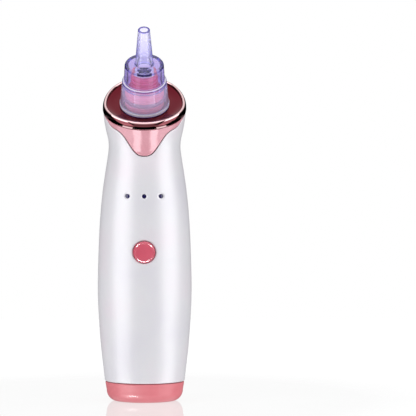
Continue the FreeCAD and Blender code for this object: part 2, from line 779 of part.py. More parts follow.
def make_suction_hose():
    """Soft tube from the pump's nipple to the post's barb, with one gentle bend."""
    low = Vector(0, MACHINE_Y + HOSE_Y, PUMP_TOP + 0.6)
    high = DECK.multVec(Vector(0, 0, -5.1))
    slope = DECK.Rotation.multVec(Z_AXIS)
    rise = (high.y - low.y) / slope.y
    corner = high - slope * rise
    points = [low, corner, high]
    outside = swept(points, 3.1, 10.0)
    inside = swept(points, 2.15, 10.0)
    return outside.cut(inside)


# ---------------------------------------------------------------- frame and wiring
def make_inner_frame():
    """Moulded carrier: two rails, cradles for the cell, saddles for motor and pump, and a foot."""
    rails = [block(s * 14.0 - 1.1, s * 14.0 + 1.1, -3.0, 3.0, 13.6, 101.0) for s in (-1, 1)]
    parts = list(rails)
    for low, high in ((62.0, 67.0), (80.0, 85.0), (93.0, 98.0)):
        band = on_machine(tube(13.9, PUMP_R + 0.1, low, high))
        parts.append(band.cut(block(-FAR, FAR, -FAR, -6.0, 0, 200)))
    for low, high in ((18.0, 24.0), (44.0, 50.0)):
        cradle = tube(CELL_R + 1.7, CELL_R + 0.1, low, high).cut(block(-FAR, FAR, -FAR, -4.0, 0, 200))
        parts.append(cradle)
        for s in (-1, 1):
            middle = s * (CELL_R + 13.6) / 2 + s * 0.3
            parts.append(block(middle - 3.0, middle + 3.0, -1.2, 1.2, low, high))
    foot = rod(15.3, 12.4, 13.5).cut(block(-8.0, 8.0, -6.6, 6.6, 10, 13.0))
    parts.append(foot)
    parts += [rod(2.4, 7.7, 12.6, 0, y) for y in (-CAP_SCREW_Y, CAP_SCREW_Y)]
    parts += [block(s * 14.0 - 1.1, s * 14.0 + 1.1, -3.0, 3.0, 12.6, 14.0) for s in (-1, 1)]
    frame = fuse(parts).common(handle_form(WALL + 0.45))
    tools = [rod(0.8, 7, 14, 0, y) for y in (-CAP_SCREW_Y, CAP_SCREW_Y)]
    tools.append(block(-2.3, 2.3, -9.3, 2.3, 13.0, CELL_LOW + 1))
    tools += [block(x - 0.8, x + 0.8, -9.3, -3.6, 11.0, CELL_LOW + 1) for x in (-4.5, 4.5)]
    return cut(frame, tools)


def make_cap_screws():
    screws = []
    for y in (-CAP_SCREW_Y, CAP_SCREW_Y):
        screw = rod(1.9, 0.4, 1.7, 0, y).fuse(rod(0.75, 1.7, 12.4, 0, y))
        slots = [block(-1.1, 1.1, y - 0.25, y + 0.25, 0, 1.0), block(-0.25, 0.25, y - 1.1, y + 1.1, 0, 1.0)]
        screws.append(cut(screw, slots))
    return Part.makeCompound(screws)


WIRE_R = 0.55
LEAD_BEND = 0.9
LEAD_Y = -8.4
LEAD_TOP = 53.6


def lead(x, y, z, top):
    """An insulated wire that climbs beside the cell from (x, y, z) to the back of the main board."""
    points = [Vector(x, y, z), Vector(x, LEAD_Y, z), Vector(x, LEAD_Y, top), Vector(x, BOARD_BACK, top)]
    return swept(points, WIRE_R, LEAD_BEND)


def make_motor_leads():
    leads = [rod_y(WIRE_R, BOARD_BACK, MACHINE_Y - 0.25, x, MOTOR_LOW - 1.2) for x in (-7.2, 7.2)]
    return Part.makeCompound(leads)


def make_battery_leads():
    from_top = lead(1.1, -6.4, CELL_HIGH + 0.1, LEAD_TOP)
    from_foot = lead(-1.1, -7.0, CELL_LOW - 0.1, LEAD_TOP)
    return Part.makeCompound([from_top, from_foot])


def make_charge_leads():
    """Wires from the charging board, each with a short riser before it turns outwards."""
    wires = []
    for x in (-4.5, 4.5):
        start = Vector(x, -5.3, 11.2)
        turn = Vector(x, -5.3, 12.75)
        climb = [Vector(x, LEAD_Y, turn.z), Vector(x, LEAD_Y, 54.0), Vector(x, BOARD_BACK, 54.0)]
        wires.append(swept([start, turn] + climb, WIRE_R, LEAD_BEND * 0.85))
    return Part.makeCompound(wires)


FORM = handle_form(0.0)
INSIDE_SKIN = handle_form(0.6)
LENS_SKIN = handle_form(0.3)


def build():
    wall = shell_wall()
    gap_zone = collar_zone(SEAM_GAP)
    return {
        "front_shell": make_front_shell(wall, gap_zone),
        "rear_shell": make_rear_shell(wall, gap_zone),
        "top_collar": make_top_collar(wall),
        "trim_ring": make_trim_ring(),
        "deck_plate": make_deck_plate(),
        "bottom_cap": make_bottom_cap(),
        "port_insert": make_port_insert(),
        "suction_head": make_suction_head(),
        "suction_post": make_suction_post(),
        "head_seal": make_head_seal(),
        "filter_sponge": make_filter_sponge(),
        "filter_grille": make_filter_grille(),
        "post_gasket": make_post_gasket(),
        "post_nut": make_post_nut(),
        "power_button": make_power_button(),
        "switch_plunger": make_switch_plunger(),
        "switch_body": make_switch_body(),
        "lamp_lenses": make_lamp_lenses(),
        "lamp_chips": make_lamp_chips(),
        "main_board": make_main_board(),
        "board_chips": make_board_chips(),
        "board_screws": make_board_screws(),
        "charge_board": make_charge_board(),
        "charge_board_screws": make_charge_board_screws(),
        "socket_shell": make_socket_shell(),
        "socket_tongue": make_socket_tongue(),
        "battery_cell": make_battery_cell(),
        "battery_tabs": make_battery_tabs(),
        "motor_can": make_motor_can(),
        "motor_end_cap": make_motor_end_cap(),
        "motor_magnets": make_motor_magnets(),
        "motor_bushes": make_motor_bushes(),
        "motor_brushes": make_motor_brushes(),
        "motor_terminals": make_motor_terminals(),
        "motor_screws": make_motor_screws(),
        "rotor_shaft": make_rotor_shaft(),
        "rotor_core": make_rotor_core(),
        "rotor_windings": make_rotor_windings(),
        "commutator": make_commutator(),
        "crank": make_crank(),
        "drive_pin": make_drive_pin(),
        "wobble_plate": make_wobble_plate(),
        "pump_base": make_pump_base(),
        "membrane": make_membrane(),
        "valve_plate": make_valve_plate(),
        "valve_flaps": make_valve_flaps(),
        "pump_cover": make_pump_cover(),
        "pump_screws": make_pump_screws(),
        "suction_hose": make_suction_hose(),
        "inner_frame": make_inner_frame(),
        "cap_screws": make_cap_screws(),
        "motor_leads": make_motor_leads(),
        "battery_leads": make_battery_leads(),
        "charge_leads": make_charge_leads(),
    }


def main():
    os.makedirs("parts", exist_ok=True)
    for name, shape in build().items():
        print(f"{name:20s} solids {len(shape.Solids)} valid {shape.isValid()} volume {shape.Volume:.1f}")
        shape.exportStep(f"parts/{name}.step")


main()
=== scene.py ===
import json
import math

import bmesh
import bpy
import numpy as np
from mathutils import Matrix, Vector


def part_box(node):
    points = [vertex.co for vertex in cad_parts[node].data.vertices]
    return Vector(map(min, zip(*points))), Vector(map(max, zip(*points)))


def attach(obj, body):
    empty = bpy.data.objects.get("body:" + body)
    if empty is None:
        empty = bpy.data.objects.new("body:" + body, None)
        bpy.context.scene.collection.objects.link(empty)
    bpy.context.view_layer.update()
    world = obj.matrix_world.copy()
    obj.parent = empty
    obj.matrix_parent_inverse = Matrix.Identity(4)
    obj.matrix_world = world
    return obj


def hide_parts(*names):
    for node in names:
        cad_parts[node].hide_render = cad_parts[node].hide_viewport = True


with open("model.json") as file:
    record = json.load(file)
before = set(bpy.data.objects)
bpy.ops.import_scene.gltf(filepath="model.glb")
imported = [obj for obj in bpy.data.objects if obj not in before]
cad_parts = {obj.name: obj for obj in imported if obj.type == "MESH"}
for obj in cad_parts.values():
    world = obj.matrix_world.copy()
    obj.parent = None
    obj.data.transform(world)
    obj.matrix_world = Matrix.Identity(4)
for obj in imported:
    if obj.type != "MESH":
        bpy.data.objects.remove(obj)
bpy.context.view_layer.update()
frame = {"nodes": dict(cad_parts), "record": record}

# ---------------------------------------------------------------- driving dimensions, in millimetres
MM = 0.001
DECK_TILT = math.radians(32.0)
COS_T = math.cos(DECK_TILT)
SIN_T = math.sin(DECK_TILT)
DECK_Z = 133.7
DECK_HALF = 18.55
DECK_FRONT = 16.0
DECK_BACK = 21.7
WIDE_V = -2.2
DECK_OVERRUN = 4.0

# Handle sections: height of the widest line, half width, depth in front of it and behind it, its Y, tilt.
STATIONS = [
    (4.0, 17.45, 16.2, 16.2, 0.0, 0.0),
    (8.7, 17.9, 16.6, 16.6, 0.0, 0.0),
    (21.1, 19.35, 17.9, 17.9, 0.0, 0.0),
    (35.1, 20.5, 19.0, 19.0, 0.0, 0.0),
    (49.1, 21.1, 19.6, 19.6, 0.0, 0.0),
    (61.1, 20.95, 19.5, 19.5, 0.0, 0.0),
    (75.1, 20.45, 19.0, 19.0, 0.0, 0.0),
    (87.1, 19.65, 18.25, 18.25, 0.0, 0.0),
    (97.1, 18.55, 17.4, 17.4, 0.1, 1.5),
    (105.1, 17.35, 16.5, 16.6, 0.4, 5.0),
    (111.6, 16.35, 15.7, 16.1, 0.8, 10.0),
    (115.2, 16.1, 15.35, 16.2, 1.0, 14.0),
    (118.7, 16.5, 15.3, 16.9, 1.0, 18.0),
    (122.0, 17.25, 15.5, 18.1, 0.8, 22.5),
    (125.8, 17.95, 15.8, 19.5, 0.1, 27.0),
    (129.1, 18.35, 16.0, 20.9, -0.8, 30.5),
]
# Edge of the collar's tongue: distance from the middle, height.
TONGUE = [
    (0.0, 111.1), (4.0, 112.5), (7.1, 116.6), (9.6, 120.2), (12.6, 122.6), (15.6, 124.9), (17.6, 128.9),
    (19.5, 134.5),
]
TONGUE_BACK_Y = -2.0
COLLAR_BAND = -2.1
WALL = 1.7
CAP_TOP = 8.7
SEAM_GAP = 0.36
SEAM_ROLL = 0.3
SEAM_FADE = 4.0
CAP_GAP = 0.22
FOOT_ROLL = 0.6
SPLIT_Y = 1.2
PARTING_GAP = 0.06
PARTING_ROLL = 0.12
ROLL_STEPS = 4
RING_LOW = -1.5
RING_TOP = 2.1
RING_PROUD = 0.2
RING_IN = 1.45
HEAD_TOP = 40.4
BUTTON_Z = 68.4
BUTTON_R = 4.9
LAMP_Z = 93.3
LAMP_STEP = 7.5
LAMP_R = 0.95

# Edges of the front shell's holes, as (radius, depth) below the handle's surface.
BUTTON_HOLE = [(5.65, 0.0), (5.6, 0.01), (5.5, 0.07), (5.14, 0.46), (5.06, 0.58), (5.05, 0.8), (5.05, WALL)]
LAMP_HOLE = [(1.75, 0.0), (1.66, 0.01), (1.5, 0.07), (1.25, 0.2), (1.06, 0.3), (1.0, 0.38), (1.0, WALL)]


# ---------------------------------------------------------------- curves and the handle's form
class Spline:
    """A natural cubic spline through rows of values."""

    def __init__(self, knots, values):
        self.t = np.asarray(knots, float)
        self.y = np.asarray(values, float).reshape(len(self.t), -1)
        step = np.diff(self.t)
        slope = np.diff(self.y, axis=0) / step[:, None]
        count = len(self.t)
        system = np.eye(count)
        right = np.zeros_like(self.y)
        for i in range(1, count - 1):
            system[i, i - 1 : i + 2] = step[i - 1], 2 * (step[i - 1] + step[i]), step[i]
            right[i] = 6 * (slope[i] - slope[i - 1])
        self.bend = np.linalg.solve(system, right)

    def __call__(self, t):
        t = np.asarray(t, float)
        i = np.clip(np.searchsorted(self.t, t) - 1, 0, len(self.t) - 2)
        step = (self.t[i + 1] - self.t[i])[..., None]
        b = (t - self.t[i])[..., None] / step
        a = 1 - b
        curved = (a**3 - a) * self.bend[i] + (b**3 - b) * self.bend[i + 1]
        return a * self.y[i] + b * self.y[i + 1] + curved * step**2 / 6


def on_deck(u, v, w):
    """Points of the sloping deck's own frame, in the object's frame."""
    u, v, w = np.broadcast_arrays(np.asarray(u, float), v, w)
    return np.stack([u, v * COS_T - w * SIN_T, DECK_Z + v * SIN_T + w * COS_T], -1)


def deck_height(p):
    return (p[..., 2] - DECK_Z) * COS_T - p[..., 1] * SIN_T


def handle_sections():
    rows = [row[:5] + (math.radians(row[5]),) for row in STATIONS]
    for height in (0.0, DECK_OVERRUN):
        wide = on_deck(0, WIDE_V, height)
        rows.append((wide[2], DECK_HALF, DECK_FRONT, DECK_BACK, wide[1], DECK_TILT))
    return np.array(rows)


SECTIONS = handle_sections()
TAU = np.concatenate([[0.0], np.cumsum(np.hypot(np.diff(SECTIONS[:, 0]), np.diff(SECTIONS[:, 4])))])
FORM = Spline(TAU, SECTIONS)
FINE_TAU = np.linspace(TAU[0], TAU[-1], 2000)
FINE_Z = FORM(FINE_TAU)[:, 0]
TONGUE_LINE = Spline([-x for x, _ in TONGUE[:0:-1]] + [x for x, _ in TONGUE],
                     [z for _, z in TONGUE[:0:-1]] + [z for _, z in TONGUE])


def tau_at(z):
    return np.interp(z, FINE_Z, FINE_TAU)


def surface(tau, phi):
    """Point of the handle's skin: tau runs up the handle, phi round it from +X through +Y."""
    tau, phi = np.broadcast_arrays(tau, phi)
    z, half, front, back, y, tilt = np.moveaxis(FORM(tau), -1, 0)
    v = np.where(np.sin(phi) < 0, front, back) * np.sin(phi)
    return np.stack([half * np.cos(phi), y + v * np.cos(tilt), z + v * np.sin(tilt)], -1)


def unit(v):
    return v / np.maximum(np.linalg.norm(v, axis=-1, keepdims=True), 1e-9)


def skin_normal(tau, phi):
    e = 1e-3
    return unit(np.cross(surface(tau, phi + e) - surface(tau, phi - e),
                         surface(tau + e, phi) - surface(tau - e, phi)))


def front_point(x, z):
    """The handle's front surface in front of a point (x, z)."""
    level = np.array(z, float)
    for _ in range(8):
        tau = tau_at(level)
        _, half, front, _, _, tilt = np.moveaxis(FORM(tau), -1, 0)
        down = np.sqrt(1 - (x / half) ** 2)
        level = z + front * down * np.sin(tilt)
    return surface(tau, -np.arccos(x / half))


def below_seam(p):
    """How far a point of the skin lies below the seam between body and collar."""
    steep, soft = 3.0, 0.5
    x = np.abs(p[..., 0])
    last = TONGUE[-1][0]
    tongue = TONGUE_LINE(np.minimum(x, last))[..., 0] - p[..., 2]
    tongue = tongue + steep * (np.maximum(x - last, 0) + np.maximum(p[..., 1] - TONGUE_BACK_Y, 0))
    band = COLLAR_BAND - deck_height(p)
    return -soft * np.logaddexp(-tongue / soft, -band / soft)


def below_ring(p):
    return RING_LOW - deck_height(p)


def crossing(column, side):
    """Where each column of the skin crosses a limit: side(p) is above 0 below the limit."""
    low = np.full(column.count, tau_at(95.0))
    high = np.full(column.count, TAU[-2] + 1.5)
    for _ in range(40):
        middle = (low + high) / 2
        under = side(surface(middle, column(middle))) > 0
        low = np.where(under, middle, low)
        high = np.where(under, high, middle)
    return (low + high) / 2


class Columns:
    """Columns of a part of the skin between the two parting lines, or all the way round."""

    def __init__(self, count, which):
        self.count = count
        self.which = which
        self.closed = which == "round"
        self.share = np.arange(count) / (count if self.closed else count - 1)

    def __call__(self, tau):
        if self.closed:
            shape = np.broadcast_shapes(np.shape(tau), self.share.shape)
            return np.broadcast_to(self.share * 2 * math.pi, shape)
        _, _, _, back, y, tilt = np.moveaxis(FORM(tau), -1, 0)
        pull = (PARTING_GAP / 2 + PARTING_ROLL) * (1 if self.which == "rear" else -1)
        rise = np.arcsin((SPLIT_Y + pull - y) / (np.cos(tilt) * back))
        if self.which == "front":
            return math.pi - rise + self.share * (math.pi + 2 * rise)
        return rise + self.share * (math.pi - 2 * rise)


# ---------------------------------------------------------------- mesh building
# The pieces drawn here, by name, for the lights that act on one piece only.
PIECES = {}


def in_scene(name, data):
    obj = bpy.data.objects.new(name, data)
    bpy.context.scene.collection.objects.link(obj)
    return obj


class Skin:
    """Points and faces of one piece, in millimetres."""

    def __init__(self):
        self.points = []
        self.faces = []
        self.count = 0

    def add(self, points):
        points = np.asarray(points, float)
        ids = np.arange(points[..., 0].size).reshape(points.shape[:-1]) + self.count
        self.points.append(points.reshape(-1, 3))
        self.count += ids.size
        return ids

    def strip(self, a, b, closed=True):
        last = len(a) if closed else len(a) - 1
        for i in range(last):
            j = (i + 1) % len(a)
            self.faces.append((int(a[i]), int(a[j]), int(b[j]), int(b[i])))

    def grid(self, ids, closed=False, holes=()):
        rows, cols = ids.shape
        for r in range(rows - 1):
            for c in range(cols if closed else cols - 1):
                if any(r0 <= r < r1 and c0 <= c < c1 for r0, r1, c0, c1 in holes):
                    continue
                d = (c + 1) % cols
                self.faces.append((int(ids[r, c]), int(ids[r, d]), int(ids[r + 1, d]), int(ids[r + 1, c])))

    def stack(self, rows, closed=True):
        """Loops joined one to the next; with closed, the last joins the first."""
        ids = [self.add(row) for row in rows]
        for a, b in zip(ids, ids[1:] + (ids[:1] if closed else [])):
            self.strip(a, b)
        return ids

    def rolled(self, edge, rows):
        """Rows added one after the other to a loop; returns the last."""
        for row in rows:
            ids = self.add(row)
            self.strip(edge, ids)
            edge = ids
        return edge

    def fan(self, ring):
        middle = self.add(np.concatenate(self.points)[ring].mean(0)[None])[0]
        for a, b in zip(ring, np.roll(ring, -1)):
            self.faces.append((int(a), int(b), int(middle)))

    def fill(self, loops):
        """Flat faces between an outer loop and the loops of its holes."""
        bm = bmesh.new()
        points = np.concatenate(self.points)
        verts = {}
        edges = []
        for loop in loops:
            for i in loop:
                verts[int(i)] = bm.verts.new(points[i])
            edges += [bm.edges.new((verts[int(a)], verts[int(b)])) for a, b in zip(loop, np.roll(loop, -1))]
        names = {v: i for i, v in verts.items()}
        made = bmesh.ops.triangle_fill(bm, use_beauty=True, use_dissolve=False, edges=edges)
        for face in made["geom"]:
            if isinstance(face, bmesh.types.BMFace):
                self.faces.append(tuple(names[v] for v in face.verts))
        bm.free()

    def piece(self, name, body, slot, sharp=60.0):
        """The finished object, closed, facing outwards, riding on its body and standing for its CAD node."""
        mesh = bpy.data.meshes.new(name)
        mesh.from_pydata((np.concatenate(self.points) * MM).tolist(), [], self.faces)
        bm = bmesh.new()
        bm.from_mesh(mesh)
        bmesh.ops.recalc_face_normals(bm, faces=bm.faces)
        bm.to_mesh(mesh)
        bm.free()
        mesh.shade_smooth()
        mesh.set_sharp_from_angle(angle=math.radians(sharp))
        mesh.materials.append(FINISHES[slot])
        obj = in_scene(name, mesh)
        even = obj.modifiers.new("even_shading", "WEIGHTED_NORMAL")
        even.keep_sharp = True
        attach(obj, body)
        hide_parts(name)
        PIECES[name] = obj
        return obj


def edge_out(points, normals, inside, closed=False):
    """Directions out of a surface's edge, in the surface and square to the edge."""
    if closed:
        along = np.roll(points, -1, axis=0) - np.roll(points, 1, axis=0)
    else:
        along = np.gradient(points, axis=0)
    out = unit(np.cross(normals, along))
    side = np.sum(out * (points - inside), axis=-1, keepdims=True)
    return np.where(side < 0, -out, out)


def eased(share):
    """A share from 0 to 1 with a soft start and end, ready to scale vectors."""
    share = np.clip(share, 0, 1)
    return (share**2 * (3 - 2 * share))[..., None]


def roll_rows(points, normals, out, depth):
    """Rows that turn a surface's edge through a quarter round; out is as long as the round is wide."""
    rows = []
    for k in range(1, ROLL_STEPS + 1):
        turn = math.pi / 2 * k / ROLL_STEPS
        rows.append(points + out * math.sin(turn) - normals * depth * (1 - math.cos(turn)))
    return rows


def round_hole(skin, outer, inner, places, block, centre, profile):
    """Joins a block cut from the front skin to a round hole whose edge follows a (radius, depth) profile."""
    r0, r1, c0, c1 = block
    steps = 6

    def loop(ids):
        return np.concatenate([ids[r0, c0:c1], ids[r0:r1, c1], ids[r1, c1:c0:-1], ids[r1:r0:-1, c0]])

    x, z = centre
    square = np.stack([loop(places[..., 0]), loop(places[..., 2])], -1)
    angle = np.arctan2(square[:, 1] - z, square[:, 0] - x)
    ring = np.stack([np.cos(angle), np.sin(angle)], -1)
    edge = np.array(centre) + ring * profile[0][0]
    rows = []
    for k in range(1, steps + 1):
        spot = square + (edge - square) * k / steps
        rows.append(front_point(spot[:, 0], spot[:, 1]))
    for radius, depth in profile[1:]:
        spot = np.array(centre) + ring * radius
        rows.append(front_point(spot[:, 0], spot[:, 1]) + np.array([0, depth, 0]))
    skin.strip(skin.rolled(loop(outer), rows), loop(inner))


def body_shell(name, which, columns, row_step, holes):
    """Half of the handle's casing, from the foot cap to the collar's edge."""
    column = Columns(columns, which)
    blend_z, upper_rows = 100.0, 34
    top = crossing(column, below_seam)
    low_z = CAP_TOP + CAP_GAP + FOOT_ROLL
    heights = np.linspace(low_z, blend_z, int((blend_z - low_z) / row_step))
    tau = [np.full(column.count, t) for t in tau_at(heights)]
    tau += [tau[-1] + (top - tau[-1]) * k / upper_rows for k in range(1, upper_rows + 1)]
    tau = np.array(tau)
    phi = column_angles(column, tau)
    places = surface(tau, phi)
    normals = skin_normal(tau, phi)
    pull = edge_out(places[-1], normals[-1], places[-2]) * (SEAM_GAP / 2 + SEAM_ROLL)
    places = places - pull * eased(1 - (top - tau) / SEAM_FADE)
    out = np.zeros_like(places)
    out[0] += edge_out(places[0], normals[0], places[1]) * FOOT_ROLL
    out[-1] += edge_out(places[-1], normals[-1], places[-2]) * SEAM_ROLL
    out[:, 0] += edge_out(places[:, 0], normals[:, 0], places[:, 1]) * PARTING_ROLL
    out[:, -1] += edge_out(places[:, -1], normals[:, -1], places[:, -2]) * PARTING_ROLL
    depth = np.full(tau.shape, PARTING_ROLL)
    depth[0] = FOOT_ROLL
    depth[-1] = SEAM_ROLL
    skin = Skin()
    outer = skin.add(places)
    inner = skin.add(places + out - normals * WALL)
    blocks = [hole_block(places, spot) for spot in holes]
    skin.grid(outer, holes=blocks)
    skin.grid(inner, holes=blocks)
    border = np.array(border_cells(tau.shape))
    rim = border[:, 0], border[:, 1]
    edge = skin.rolled(outer[rim], roll_rows(places[rim], normals[rim], out[rim], depth[rim][:, None]))
    skin.strip(edge, inner[rim])
    for block, (centre, _, profile) in zip(blocks, holes):
        round_hole(skin, outer, inner, places, block, centre, profile)
    skin.piece(name, "handle", "shell_pearl")


def column_angles(column, tau):
    return np.array([column(row) for row in tau])


def border_cells(shape):
    """Rows and columns of a grid's border, once round."""
    rows, cols = shape
    cells = [(0, c) for c in range(cols - 1)]
    cells += [(r, cols - 1) for r in range(rows - 1)]
    cells += [(rows - 1, c) for c in range(cols - 1, 0, -1)]
    cells += [(r, 0) for r in range(rows - 1, 0, -1)]
    return cells


def hole_block(places, spot):
    """The block of grid cells that makes room for a hole."""
    (x, z), half, _ = spot
    middle = np.abs(places[:, places.shape[1] // 2, 2] - z).argmin()
    cols = places[middle, :, 0]
    front = places[middle, :, 1] < 0
    across = [np.where(front, np.abs(cols - x - d), 1e9).argmin() for d in (-half, half)]
    column = places[:, places.shape[1] // 2, 2]
    up = [np.abs(column - z - d).argmin() for d in (-half, half)]
    return up[0], up[1], min(across), max(across)


def collar():
    """The rose collar: a narrow band under the ring that reaches down the front as a tongue."""
    columns, rows = 220, 40
    column = Columns(columns, "round")
    low = crossing(column, below_seam)
    high = crossing(column, below_ring)
    tau = np.array([low + (high - low) * k / rows for k in range(rows + 1)])
    phi = column_angles(column, tau)
    places = surface(tau, phi)
    normals = skin_normal(tau, phi)
    height = (high - low)[:, None]
    roll = np.minimum(SEAM_ROLL, height * 0.35)
    gap = np.minimum(SEAM_GAP / 2, height * 0.1)
    pull = edge_out(places[0], normals[0], places[1], closed=True) * (gap + roll)
    places = places - pull * eased(1 - (tau - low) / np.minimum(SEAM_FADE, high - low))
    out = edge_out(places[0], normals[0], places[1], closed=True) * roll
    skin = Skin()
    outer = skin.add(places)
    skin.grid(outer, closed=True)
    edge = skin.rolled(outer[0], roll_rows(places[0], normals[0], out, roll))
    inside = places - normals * WALL
    inside[0] += out
    inner = skin.add(inside)
    skin.grid(inner, closed=True)
    skin.strip(edge, inner[0])
    skin.strip(outer[-1], inner[-1])
    skin.piece("top_collar", "handle", "rose_metal")


def egg(inset, w, count=216):
    """A loop of the deck's outline, drawn in by inset, at a height above the deck."""
    phi = np.arange(count) * 2 * math.pi / count
    depth = np.where(np.sin(phi) < 0, DECK_FRONT, DECK_BACK) - inset
    return on_deck((DECK_HALF - inset) * np.cos(phi), WIDE_V + depth * np.sin(phi), w)


def arc(centre, radius, start, end, steps):
    """Points of an arc between two angles in degrees."""
    angles = np.radians(np.linspace(start, end, steps + 1))
    return [(centre[0] + radius * math.cos(a), centre[1] + radius * math.sin(a)) for a in angles]


def rounded(corners):
    """An outline with rounded corners, from (across, up, radius) corners in order."""
    outline = []
    for i, (x, y, radius) in enumerate(corners):
        p = np.array((x, y))
        if not radius:
            outline.append(p)
            continue
        a = unit(np.array(corners[i - 1][:2]) - p)
        b = unit(np.array(corners[(i + 1) % len(corners)][:2]) - p)
        half = math.acos(np.clip(a @ b, -1, 1)) / 2
        centre = p + unit(a + b) * radius / math.sin(half)
        start = p + a * radius / math.tan(half) - centre
        end = p + b * radius / math.tan(half) - centre
        turn = math.atan2(start[0] * end[1] - start[1] * end[0], start @ end)
        steps = max(2, math.ceil(abs(turn) / math.radians(12)))
        for k in range(steps + 1):
            c, s = math.cos(turn * k / steps), math.sin(turn * k / steps)
            outline.append(centre + np.array((c * start[0] - s * start[1], s * start[0] + c * start[1])))
    return outline


def turned(outline, place, segments):
    """A closed solid turned from an outline of (radius, height) points."""
    angle = np.arange(segments) * 2 * math.pi / segments
    skin = Skin()
    skin.stack([place(r * np.cos(angle), r * np.sin(angle), h) for r, h in outline])
    return skin


# ---------------------------------------------------------------- pieces
def trim_ring():
    """The plated band round the deck: an upright foot under a wide roll."""
    foot, across, tall, lip = 0.4, 1.15, 2.3, 0.5
    outline = [(-RING_PROUD + foot, RING_LOW)]
    outline += [(-x, w) for x, w in arc((RING_PROUD - foot, RING_LOW + foot), foot, -75, 0, 5)]
    for turn in np.radians(np.linspace(0, 90, 17)):
        outline.append((across * (1 - math.cos(turn)) - RING_PROUD, RING_TOP - tall * (1 - math.sin(turn))))
    outline += [(-x, w) for x, w in arc((-RING_IN + lip, RING_TOP - lip), lip, 90, 180, 6)]
    outline += [(RING_IN, RING_LOW)]
    skin = Skin()
    skin.stack([egg(inset, w) for inset, w in outline])
    skin.piece("trim_ring", "handle", "rose_chrome")


def deck_plate():
    """The mirror deck, turned up at its rim, with the hole that the post stands in."""
    rim, lip, dish, thick, hole = 1.5, 1.75, 5.6, 1.2, 5.6
    skin = Skin()
    rows = [egg(rim, -thick), egg(rim, 0.95), egg(rim + 0.05, 1.0)]
    rows += [egg(inset, ((dish - inset) / (dish - lip)) ** 2) for inset in np.linspace(lip, dish, 10)]
    edge = egg(dish, 0.0)
    phi = np.arange(len(edge)) * 2 * math.pi / len(edge)
    bore = on_deck(hole * np.cos(phi), hole * np.sin(phi), 0.0)
    rows += [edge + (bore - edge) * k / 10 for k in range(1, 11)]
    rows += [on_deck(hole * np.cos(phi), hole * np.sin(phi), -thick)]
    skin.stack(rows)
    skin.piece("deck_plate", "handle", "wine_mirror", sharp=50)


def suction_head():
    """The clear stepped head with its hollow; it throws no shadow, as clear plastic hardly does."""
    outline = rounded([
        (9.85, 0.15, 0.1), (11.15, 0.15, 0.12), (11.15, 1.3, 0.2), (10.9, 1.6, 0.2), (9.95, 13.1, 0.5),
        (9.15, 13.1, 0.3), (8.75, 22.0, 1.2), (4.1, 22.0, 1.0), (2.65, HEAD_TOP, 0.3), (1.9, HEAD_TOP, 0.2),
        (1.9, 26.0, 0.5), (3.15, 20.5, 0.6), (7.25, 20.5, 0.6), (7.65, 10.7, 0.3), (8.85, 10.7, 0.4),
    ])
    skin = turned(outline, on_deck, 144)
    head = skin.piece("suction_head", "suction_head", "clear_violet", sharp=80)
    head.visible_shadow = False


def rib(radius, base, low, high, soft):
    """Corners of a ring-shaped rib that stands on a base radius."""
    return [(base, low, 0), (radius, low, soft), (radius, high, soft), (base, high, 0)]


def suction_post():
    """The ribbed post: hose barb, stem, drum with the seal's groove, and neck with the filter's well."""
    drum, neck, groove, well, bore = 8.3, 5.6, 7.4, 4.3, 2.0
    corners = [(1.0, -9.5, 0), (1.65, -9.5, 0.2), (2.1, -7.7, 0), (1.7, -7.7, 0), (1.7, -5.0, 0)]
    corners += [(5.5, -5.0, 0), (5.5, 0.4, 0), (drum, 0.4, 0.2)]
    for low in (1.5, 2.8):
        corners += rib(drum + 0.3, drum, low, low + 0.7, 0.2)
    corners += [(drum, 3.65, 0), (groove, 3.65, 0), (groove, 5.55, 0), (drum, 5.55, 0)]
    for low in (6.4, 7.7):
        corners += rib(drum + 0.3, drum, low, low + 0.7, 0.2)
    corners += [(drum, 9.5, 0.5), (neck, 9.5, 0.3)]
    for low in (10.8, 12.8, 14.8):
        corners += rib(neck + 0.55, neck, low, low + 0.8, 0.2)
    corners += [(neck, 17.4, 0.4), (well, 17.4, 0.15), (well, 13.4, 0)]
    corners += [(bore, 13.4, 0), (bore, -3.0, 0), (1.0, -3.0, 0)]
    skin = turned(rounded(corners), on_deck, 112)
    skin.piece("suction_post", "handle", "post_pink", sharp=50)


def head_seal():
    """The round rubber ring in the post's groove."""
    middle, radius, steps = (8.32, 4.6), 0.88, 24
    outline = arc(middle, radius, 0, 360 - 360 / steps, steps - 1)
    turned(outline, on_deck, 128).piece("head_seal", "handle", "seal_rubber")


def power_button():
    """The round key with a bevelled rim and a faintly dished face."""
    low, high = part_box("power_button")
    crown = low[1] / MM
    back = high[1] / MM
    flange, flange_r, stem_r = -15.5, 6.2, 1.5
    outline = [(0.02, crown + 0.12), (1.8, crown + 0.1), (3.2, crown + 0.05)]
    outline += rounded([
        (BUTTON_R - 0.95, crown, 0.25), (BUTTON_R - 0.5, crown + 0.1, 0.15), (BUTTON_R, crown + 0.62, 0.2),
        (BUTTON_R, flange - 0.7, 0), (flange_r, flange - 0.7, 0.1), (flange_r, flange, 0.1),
        (stem_r, flange, 0), (stem_r, back, 0), (0.02, back, 0),
    ])

    def place(across, up, out):
        across, up, out = np.broadcast_arrays(across, up, out)
        return np.stack([across, out, BUTTON_Z + up], -1)

    skin = turned(outline, place, 120)
    skin.piece("power_button", "power_button", "coral_gloss", sharp=50)


